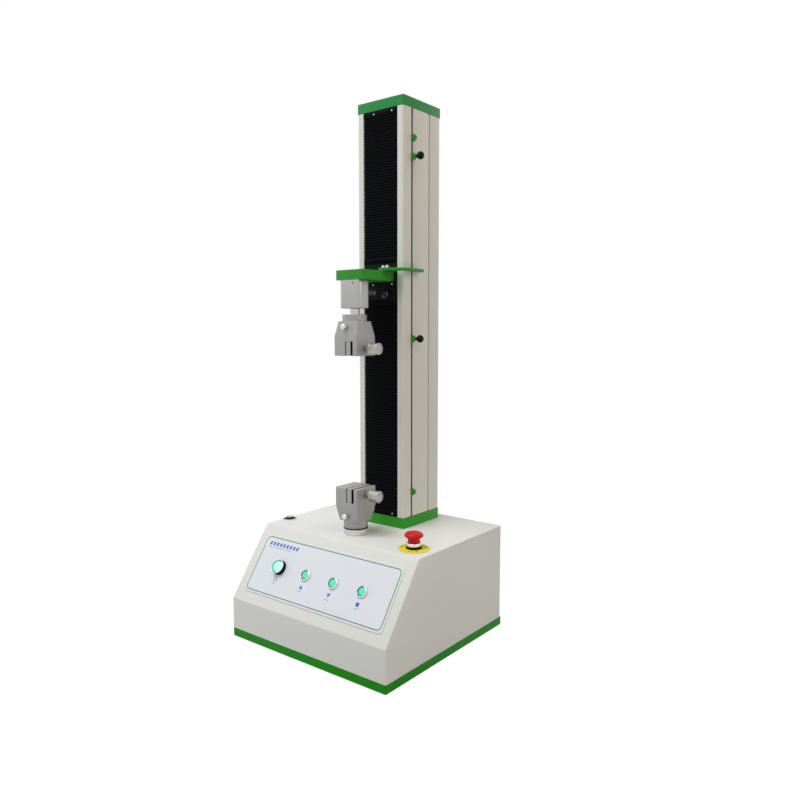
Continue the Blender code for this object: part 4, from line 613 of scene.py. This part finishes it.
for key, x in zip(("up_key", "down_key", "stop_key"), key_x[1:]):
    axis = slope @ Matrix.Translation((x, key_y, 0))
    bezel = lathed(f"{key}_rim_ring", [
        (0.0062, barrel_foot), (0.0078, barrel_foot), (0.0078, seat_z), (0.0122, seat_z),
        (0.0122, seat_z + 0.0012), (0.0112, key_top - 0.0009), (0.0096, key_top),
        (0.0088, key_top - 0.0002), (0.0088, key_top - 0.0041), (0.0062, key_top - 0.0041)],
        axis, 0.0005, 64, ring=True)
    settle(bezel, key_chrome, f"{key}_bezel")
    cap = lathed(f"{key}_cap_lens", [
        (0, stem_foot), (0.0058, stem_foot), (0.0058, key_top - 0.0014), (0.0086, key_top - 0.0012),
        (0.0086, key_top + 0.0004), (0.0070, key_top + 0.0011), (0.0030, key_top + 0.0013),
        (0, key_top + 0.0014)], axis, 0.0006, 56)
    glow = lens_glow_with_painted_shade(f"{key}_lens_glow", colour(8, 112, 82), colour(92, 238, 180), x, key_y,
                    key_top + 0.0010, 0.0104)
    settle(cap, glow, f"{key}_cap")


# Emergency stop
# A red moulded mushroom on a plated collar with a black nut at its foot. It stands on a yellow disc with
# three printed arrows that show the way to turn it.

disc_low, disc_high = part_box("stop_legend")
stop_axis = spot((disc_low[0] + disc_high[0]) / 2, (disc_low[1] + disc_high[1]) / 2, disc_low[2] - 0.0003)
signal_red = finish("signal_red_plastic", colour(206, 18, 26), 0.42, grain=600, bump=0.03, mottle=0.06,
                    Specular_IOR_Level=0.25)
signal_yellow = finish("signal_yellow_plastic", colour(234, 228, 34), 0.48, grain=1200, bump=0.05,
                       mottle=0.03)
mark_black = finish("printed_mark_black", colour(40, 40, 30), 0.45, grain=2500, bump=0.02, mottle=0.1)
disc = lathed("stop_legend_disc", [(0.0113, 0.0003), (0.030, 0.0003), (0.030, 0.0013), (0.0113, 0.0013)],
              stop_axis, 0.0002, 96, ring=True)
settle(disc, signal_yellow, "stop_legend")
ink, tail, point = 0.00005, 40, 78
disc_print = Matrix.Translation((0, 0, 0.00131))
for k in range(3):
    band, middle = arc_outline(0.0233, 0.0250, radians(tail + 120 * k), radians(point + 120 * k))
    mark = flat_shape(f"turn_arc_{k}", band, ink, stop_axis @ disc_print, middle)
    fitted(mark, mark_black, "stand")
    tip_place = stop_axis @ Matrix.Rotation(radians(point + 120 * k), 4, "Z") @ disc_print
    tip = flat_shape(f"turn_tip_{k}", [(0.0218, 0), (0.0265, 0), (0.0241, 0.0048)], ink, tip_place)
    fitted(tip, mark_black, "stand")
collar_foot = 0.0016
collar_top = collar_foot + 0.0104
collar_plate = finish("collar_bright_plate", (0.74, 0.74, 0.75, 1), 0.2, 1.0, grain=700, bump=0.02,
                      mottle=0.05)
collar = lathed("stop_collar_plated", [
    (0.0064, -0.024), (0.0110, -0.024), (0.0110, 0.0050), (0.0139, 0.0050), (0.0139, collar_top - 0.0006),
    (0.0135, collar_top), (0.0118, collar_top), (0.0118, 0.0064), (0.0064, 0.0064)], stop_axis, 0.0003, 64,
    ring=True)
settle(collar, collar_plate, "stop_collar")
nut = lathed("stop_collar_nut", [
    (0.0112, collar_foot), (0.0150, collar_foot), (0.0150, 0.0054), (0.0145, 0.0060), (0.01405, 0.0060),
    (0.01405, 0.0049), (0.0112, 0.0049)], stop_axis, 0.0003, 96, ring=True,
    wobble=lambda a, z: -0.00018 * (np.cos(a * 24) > 0.2) * (z > 0.002) * (z < 0.0056))
fitted(nut, satin_black, "stand")
plunger = lathed("stop_plunger_stem", [
    (0, stem_foot), (0.006, stem_foot), (0.006, collar_top + 0.0062), (0, collar_top + 0.0062)],
    stop_axis, 0.0004, 40)
settle(plunger, satin_black, "stop_plunger")
hood, crown = collar_top + 0.0065, collar_top + 0.0205
head = lathed("stop_head_mushroom", [
    (0, hood), (0.0064, hood), (0.0064, collar_top - 0.0013), (0.0114, collar_top - 0.0013),
    (0.0114, hood - 0.0006), (0.0120, hood + 0.0014), (0.0146, hood + 0.0032), (0.0172, hood + 0.0046),
    (0.0180, hood + 0.0062), (0.0180, crown - 0.0068), (0.0170, crown - 0.0042), (0.0142, crown - 0.0018),
    (0.0084, crown - 0.0004), (0, crown)], stop_axis, 0.0014, 96)
settle(head, signal_red, "stop_head")


# Spirit level
# A round glass vial with green-tinted spirit, in a dark cast ring whose flange has two pointed ears. It is
# fixed to the base's top, so that the tester can be set upright.

level_low, level_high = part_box("spirit_level")
level_axis = spot((level_low[0] + level_high[0]) / 2, (level_low[1] + level_high[1]) / 2,
                  level_low[2] - 0.0003)
cast_dark = finish("cast_dark_metal", colour(60, 60, 62), 0.5, 0.4, grain=700, bump=0.14, mottle=0.15)
spirit_green = finish("level_spirit", colour(214, 226, 186), 0.06, grain=60, bump=0.0, mottle=0.06,
                      Coat_Weight=1.0, Coat_Roughness=0.02)
t = np.linspace(0, tau, 64, endpoint=False)
ears = np.column_stack([np.sign(f) * np.abs(f) ** 1.3 for f in (np.cos(t), np.sin(t))]) * (0.0138, 0.0098)
flange = flat_shape("level_flange", ears, 0.0014, level_axis @ spot(0, 0, 0.0003, (0, 0, radians(52))))
settle(flange, cast_dark, "spirit_level")
for word, profile, material, slot_name in (
    ("vial_ring", [(0.0061, 0.0016), (0.0075, 0.0016), (0.0075, 0.0044), (0.0070, 0.005), (0.0061, 0.005)],
     cast_dark, "dark_steel"),
    ("target_ring", [(0.0021, 0.00486), (0.0024, 0.00486), (0.0024, 0.00495), (0.0021, 0.00495)],
     mark_black, "black_plastic"),
):
    fitted(lathed("level_" + word, profile, level_axis, 0.00005, 64, ring=True), material, "stand")
vial = lathed("level_vial", [(0, 0.0017), (0.0060, 0.0017), (0.0060, 0.0043), (0.0048, 0.0047), (0, 0.0049)],
              level_axis, 0.0006, 48)
fitted(vial, spirit_green, "stand")


# Load cell
# A satin aluminium block with well rounded upright corners, screwed under the arm, with a small black
# screw near the top of its face.

def brushed(name, base, rough, stretch, grain=420.0, bump=0.12, metal=1.0):
    """Metal worked in one direction: the fine noise is squeezed across the strokes."""
    return finish(name, base, rough, metal, grain=grain, stretch=stretch, bump=bump, mottle=0.07,
                  spread=0.08)


def upright_block(name, rows, place, steps=9):
    """Rounded rectangles carried up z, closed to the middle at both ends. A row is z, half width, half
    depth and corner radius. A point holds the flat beside each corner, 0.4 mm or half a short flat off."""
    count, rings = 4 * (steps + 2), []
    for z, x, y, r in rows:
        hold = min(0.0004, (min(x, y) - r) * 0.5)
        rings.append(np.column_stack([round_box(-x, x, -y, y, r, steps, hold), np.full(count, z)]))
    ends = [np.zeros((count, 3)) + (0, 0, row[0]) for row in (rows[0], rows[-1])]
    grid = np.stack([ends[0], *rings, ends[1]], 1)
    return surface(name, placed(grid, place), round_u=True, sharp=28)


cell_alloy = brushed("cell_satin_aluminium", (0.39, 0.39, 0.38, 1), 0.36, (6, 6, 0.25), metal=0.8)
half_x, half_y, tall = np.array(cell_high - cell_low) * (0.5, 0.5, 1)
corner = 0.0072
cell = upright_block("load_cell_block", [
    (z, half_x - inset, half_y - inset, corner - inset) for z, inset in (
        (0, 0.0012), (0.0004, 0.0005), (0.0012, 0), (0.0018, 0), (tall - 0.0006, 0), (tall, 0.0003))],
    spot(0, cell_y, cell_low[2]), 11)
settle(cell, cell_alloy, "load_cell")
socket_screw("cell_face_screw", spot(0.009, cell_low[1] + 0.0002, cell_high[2] - 0.006, (pi / 2, 0, 0)),
             "crosshead", 0.0019, 0.0005, satin_black)


# Load cell connector
# A round black plastic connector with a grooved grip and a dull nickel band. Its short lead goes straight
# back into a gland on the carriage, which has a nickel band too.

plug_low, plug_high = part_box("load_cell_plug")
plug_run = plug_high[1] - plug_low[1]
plug_x, plug_z = (plug_low[0] + plug_high[0]) / 2, (plug_low[2] + plug_high[2]) / 2
plug_axis = spot(plug_x, plug_low[1], plug_z, (-pi / 2, 0, 0))
plug = lathed("cell_plug_body", [
    (0, 0), (0.0075, 0), (0.0075, 0.004), (0.0084, 0.0045), (0.0084, 0.014), (0.0068, 0.015),
    (0.0066, 0.023), (0.0052, 0.024), (0.0040, 0.033), (0.0029, 0.036), (0.0028, plug_run - 0.012),
    (0.005, plug_run - 0.011), (0.006, plug_run - 0.006), (0.0084, plug_run - 0.005), (0.0084, plug_run),
    (0, plug_run)], plug_axis, 0.0004, 72,
    wobble=lambda a, z: -0.00035 * (np.cos(a * 18) > 0) * (z > 0.0052) * (z < 0.0132))
plug_black = finish("plug_black_plastic", colour(30, 30, 32), 0.3, grain=1200, bump=0.05, mottle=0.12)
nickel = finish("dull_nickel", (0.36, 0.36, 0.37, 1), 0.32, 1.0, grain=700, bump=0.02, mottle=0.05)
settle(plug, plug_black, "load_cell_plug")
for word, at, r in (("plug", 0.0190, 0.0069), ("gland", plug_run - 0.0060, 0.0064)):
    band = lathed(f"cell_{word}_band", [
        (r - 0.0006, at), (r, at), (r, at + 0.0014), (r - 0.0006, at + 0.0014)], plug_axis, 0.0002, 48,
        ring=True)
    fitted(band, nickel, "crosshead")


# Grips
# Sand-blasted aluminium vices: a round shank that opens into a square head, cut by the jaw's pocket. The
# jaw has fine teeth across it and is pushed by a turned knob's screw. A cross pin holds each to its stud.

def carve(piece, cutter):
    """The piece less the cutter, which is then removed."""
    step = piece.modifiers.new("carve", "BOOLEAN")
    step.operation = "DIFFERENCE"
    step.solver = "EXACT"
    step.object = cutter
    keep_modifiers(piece)
    bpy.data.objects.remove(cutter, do_unlink=True)


def block(name, low, high, place):
    """A box between two corners: a four-sided ring carried along z, with its ends drawn to the middle."""
    ring = np.array([(low[0], low[1]), (high[0], low[1]), (high[0], high[1]), (low[0], high[1])])
    middle = np.repeat(ring.mean(0)[None], 4, 0)
    rings = ((middle, low[2]), (ring, low[2]), (ring, high[2]), (middle, high[2]))
    grid = np.stack([np.column_stack([r, np.full(4, z)]) for r, z in rings], 1)
    return surface(name, placed(grid, place), round_u=True)


def bore(piece, radius, start, stop, place):
    """A round hole through the piece along the place's own z."""
    outline = [(0, start), (radius, start), (radius, stop), (0, stop)]
    carve(piece, lathed("bore_cutter", outline, place, 0, 40))


blasted = finish("blasted_aluminium", (0.37, 0.365, 0.36, 1), 0.5, 0.45, grain=1800, bump=0.18, mottle=0.06,
                 spread=0.06)
# A flat black that paints the shade in the gap between the jaw and the pocket's wall.
pocket_painted_shade = finish("pocket_shade_black", colour(22, 22, 24), 0.7, grain=900, bump=0.08, mottle=0.2,
                     Specular_IOR_Level=0.15)
turned_alloy = brushed("turned_alloy", (0.39, 0.38, 0.365, 1), 0.34, (0.4, 5, 5), metal=0.85)
bright_pin = finish("bright_pin_steel", (0.66, 0.66, 0.66, 1), 0.24, 0.9, grain=700, bump=0.02, mottle=0.05)
# Heights are taken from the shank's end towards the mouth, and places across it towards the knob.
shank, pin_z, pocket_floor, screw_z, mouth = 0.013, 0.024, 0.052, 0.066, 0.080
cheek, jaw_face, jaw_back, pocket_end = 0.0008, 0.0024, 0.0142, 0.0204
head_x, head_y, pin_radius = 0.0285, 0.0293, 0.006


def vice_head(word, place):
    """The body: its rows go from the round shank through a straight taper, whose half width, half depth
    and corner radius change evenly with height, to the square head. The pocket and bores are then cut."""
    rows = [(z, r, r, r - 0.0002) for z, r in ((0, 0.0232), (0.0007, 0.0240), (shank - 0.0003, 0.0240))]
    rows += [(shank + 0.0004 + 0.0286 * u, 0.0247 + 0.0038 * u, 0.0247 + 0.0046 * u, 0.0080 - 0.0045 * u)
             for u in np.linspace(0, 1, 9)]
    rows += [(mouth - 0.0012, head_x, head_y, 0.0034), (mouth, head_x - 0.0009, head_y - 0.0009, 0.0026)]
    piece = upright_block(f"{word}_vice_head", rows, place)
    carve(piece, block("pocket_cutter", (cheek, -0.04, pocket_floor), (pocket_end, 0.04, 0.09), place))
    bore(piece, 0.0101, -0.01, 0.0333, place)
    bore(piece, pin_radius + 0.0003, -0.04, 0.04, place @ spot(0, 0, pin_z, (pi / 2, 0, 0)))
    bore(piece, 0.0054, -0.01, 0.02, place @ spot(0.02, 0, screw_z, (0, pi / 2, 0)))
    rounded_edges(piece, 0.0004, 40)
    settle(piece, blasted, f"{word}_grip_body")


def pocket_shade_strips(word, place):
    """Two thin black strips of painted shade: one on the pocket's floor, one on its wall behind the jaw."""
    wide, body = 0.0280, home[f"{word}_grip_body"]
    for part, low, high in (
        ("floor", (cheek + 0.0002, -wide, pocket_floor), (pocket_end - 0.0002, wide, pocket_floor + 0.00025)),
        ("wall", (pocket_end - 0.0003, -wide, pocket_floor + 0.0006), (pocket_end, wide, mouth - 0.0016)),
    ):
        strip = block(f"{word}_pocket_{part}", low, high, place)
        fitted(strip, pocket_painted_shade, body)


def toothed_jaw(word, place):
    """A block whose gripping face is a triangle wave of z, half a millimetre deep and three long."""
    low, high, reach = pocket_floor + 0.0003, mouth - 0.0003, 0.0287
    z = np.linspace(low, high, 19)
    x = jaw_face + 0.0005 * (1 - np.abs(2 * np.mod(np.arange(19) / 2, 1) - 1))
    rim = 0.0007
    back = [(jaw_back - rim, low), (jaw_back, low + rim), (jaw_back, high - rim), (jaw_back - rim, high)]
    section = np.concatenate([np.column_stack([x, z])[::-1], back])
    middle = np.repeat(section.mean(0)[None], len(section), 0)
    ends = [(middle, -reach), (section, -reach), (section, reach), (middle, reach)]
    grid = np.stack([np.stack([s[:, 0], np.full(len(s), y), s[:, 1]], -1) for s, y in ends], 1)
    # A thin black strip on the jaw's back is painted shade in the gap behind the jaw.
    rear_low, rear_high = (jaw_back, -0.0280, low + 0.001), (jaw_back + 0.0002, 0.0280, high - 0.001)
    strip = block(f"{word}_jaw_back", rear_low, rear_high, place)
    fitted(strip, pocket_painted_shade, home[f"{word}_jaw"])
    piece = surface(f"{word}_toothed_jaw", placed(grid, place), round_u=True, sharp=20)
    settle(piece, blasted, f"{word}_jaw")


def knob_screw(word, place):
    """A turned screw and knob: the knob's rim is finely knurled, 60 strokes of 0.12 mm round it."""
    along = place @ spot(0, 0, screw_z, (0, pi / 2, 0))
    neck, end = 0.037, 0.062
    piece = lathed(f"{word}_knob_screw", [
        (0, 0.0145), (0.0042, 0.0145), (0.005, 0.0153), (0.005, 0.0302), (0.0068, 0.0306), (0.0068, 0.0352),
        (0.0072, neck), (0.0100, neck + 0.0024), (0.0115, neck + 0.0040), (0.0115, neck + 0.0062),
        (0.0111, neck + 0.0065), (0.0111, neck + 0.0074), (0.0115, neck + 0.0077), (0.0115, end - 0.0009),
        (0.0107, end), (0.0098, end), (0.0095, end - 0.0018), (0.0030, end - 0.0018), (0.0026, end - 0.0024),
        (0, end - 0.0024)], along, 0.0003, 120,
        wobble=lambda a, z: 0.00006 * np.cos(a * 60) * (z > neck + 0.008) * (z < end - 0.001))
    settle(piece, turned_alloy, f"{word}_clamp_screw")


def cross_pin(word, place, side):
    """A plain pin with a domed nose that stands proud at the front."""
    along = place @ spot(0, 0, pin_z, (side * pi / 2, 0, 0))
    r = pin_radius
    piece = lathed(f"{word}_cross_pin", [
        (0, -0.0262), (r - 0.0004, -0.0262), (r, -0.0257), (r, 0.0335), (r - 0.0004, 0.0352),
        (r - 0.0016, 0.0363), (r - 0.0036, 0.0367), (0, 0.03675)], along, 0.0003, 56)
    settle(piece, bright_pin, f"{word}_grip_pin")


grip_y = -0.041
lower_place = spot(0, grip_y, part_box("lower_grip_body")[0][2])
upper_place = spot(0, grip_y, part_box("upper_grip_body")[1][2], (pi, 0, 0))
for word, place, side in (("lower", lower_place, 1), ("upper", upper_place, -1)):
    vice_head(word, place)
    pocket_shade_strips(word, place)
    toothed_jaw(word, place)
    knob_screw(word, place)
    cross_pin(word, place, side)


# Stud and adaptor ring
# The upper grip hangs on a turned steel stud. The lower one stands on a turned aluminium ring, with a black
# rubber seal round it just under its top.

base_top = 0.219
stud_steel = finish("stud_bright_steel", (0.50, 0.50, 0.50, 1), 0.2, 1.0, grain=700, bump=0.02, mottle=0.05)
edged("upper_coupling", 0.0005, stud_steel, "stud")
ring_alloy = brushed("ring_turned_alloy", (0.68, 0.68, 0.67, 1), 0.34, (4, 4, 0.3), metal=0.8)
edged("lower_adaptor", 0.0004, ring_alloy, "turned_ring")
ring_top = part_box("lower_grip_body")[0][2] - 0.0003 - base_top
seal = lathed("adaptor_seal", [
    (0.0231, ring_top - 0.0037), (0.0245, ring_top - 0.0037), (0.0245, ring_top - 0.0009),
    (0.0231, ring_top - 0.0009)], spot(0, grip_y, base_top), 0.0003, 96, ring=True)
fitted(seal, satin_black, "stand")


# Limit stops
# Green milled stops on the sprung limit rod. Two have a black moulded drop-shaped knob whose thumb screw
# clamps them.

for node in ("upper_end_stop", "lower_end_stop", "upper_limit_stop", "lower_limit_stop"):
    edged(node, 0.0003, leaf_green, "green_clamp")
rod_x = 0.05
for word in ("upper", "lower"):
    knob_low, knob_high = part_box(f"{word}_stop_knob")
    end = knob_high[0] - rod_x
    along = spot(rod_x, (knob_low[1] + knob_high[1]) / 2, (knob_low[2] + knob_high[2]) / 2, (0, pi / 2, 0))
    knob = lathed(f"{word}_stop_knob_moulding", [
        (0, 0.0033), (0.0014, 0.0033), (0.0014, end - 0.0173), (0.0024, end - 0.0173), (0.0027, end - 0.0160),
        (0.0044, end - 0.0132), (0.0065, end - 0.0108), (0.0077, end - 0.0082), (0.0077, end - 0.0056),
        (0.0064, end - 0.0026), (0.0038, end - 0.0006), (0, end)], along, 0.0012, 56)
    settle(knob, satin_black, f"{word}_stop_knob")


# Power inlet
# A black moulded mains socket with three blades. Its flange is held against the back of the cover by a
# small plated screw on each side.

edged("power_inlet", 0.0004, satin_black, "moulding")
inlet_low, inlet_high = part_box("power_inlet")
inlet_z = (inlet_low[2] + inlet_high[2]) / 2
for k, x in enumerate((inlet_low[0] + 0.006, inlet_high[0] - 0.006)):
    socket_screw(f"inlet_screw_{k}", spot(x, inlet_high[1] - 0.0002, inlet_z, (-pi / 2, 0, 0)), "stand",
                 0.0024, 0.0004, zinc_head)
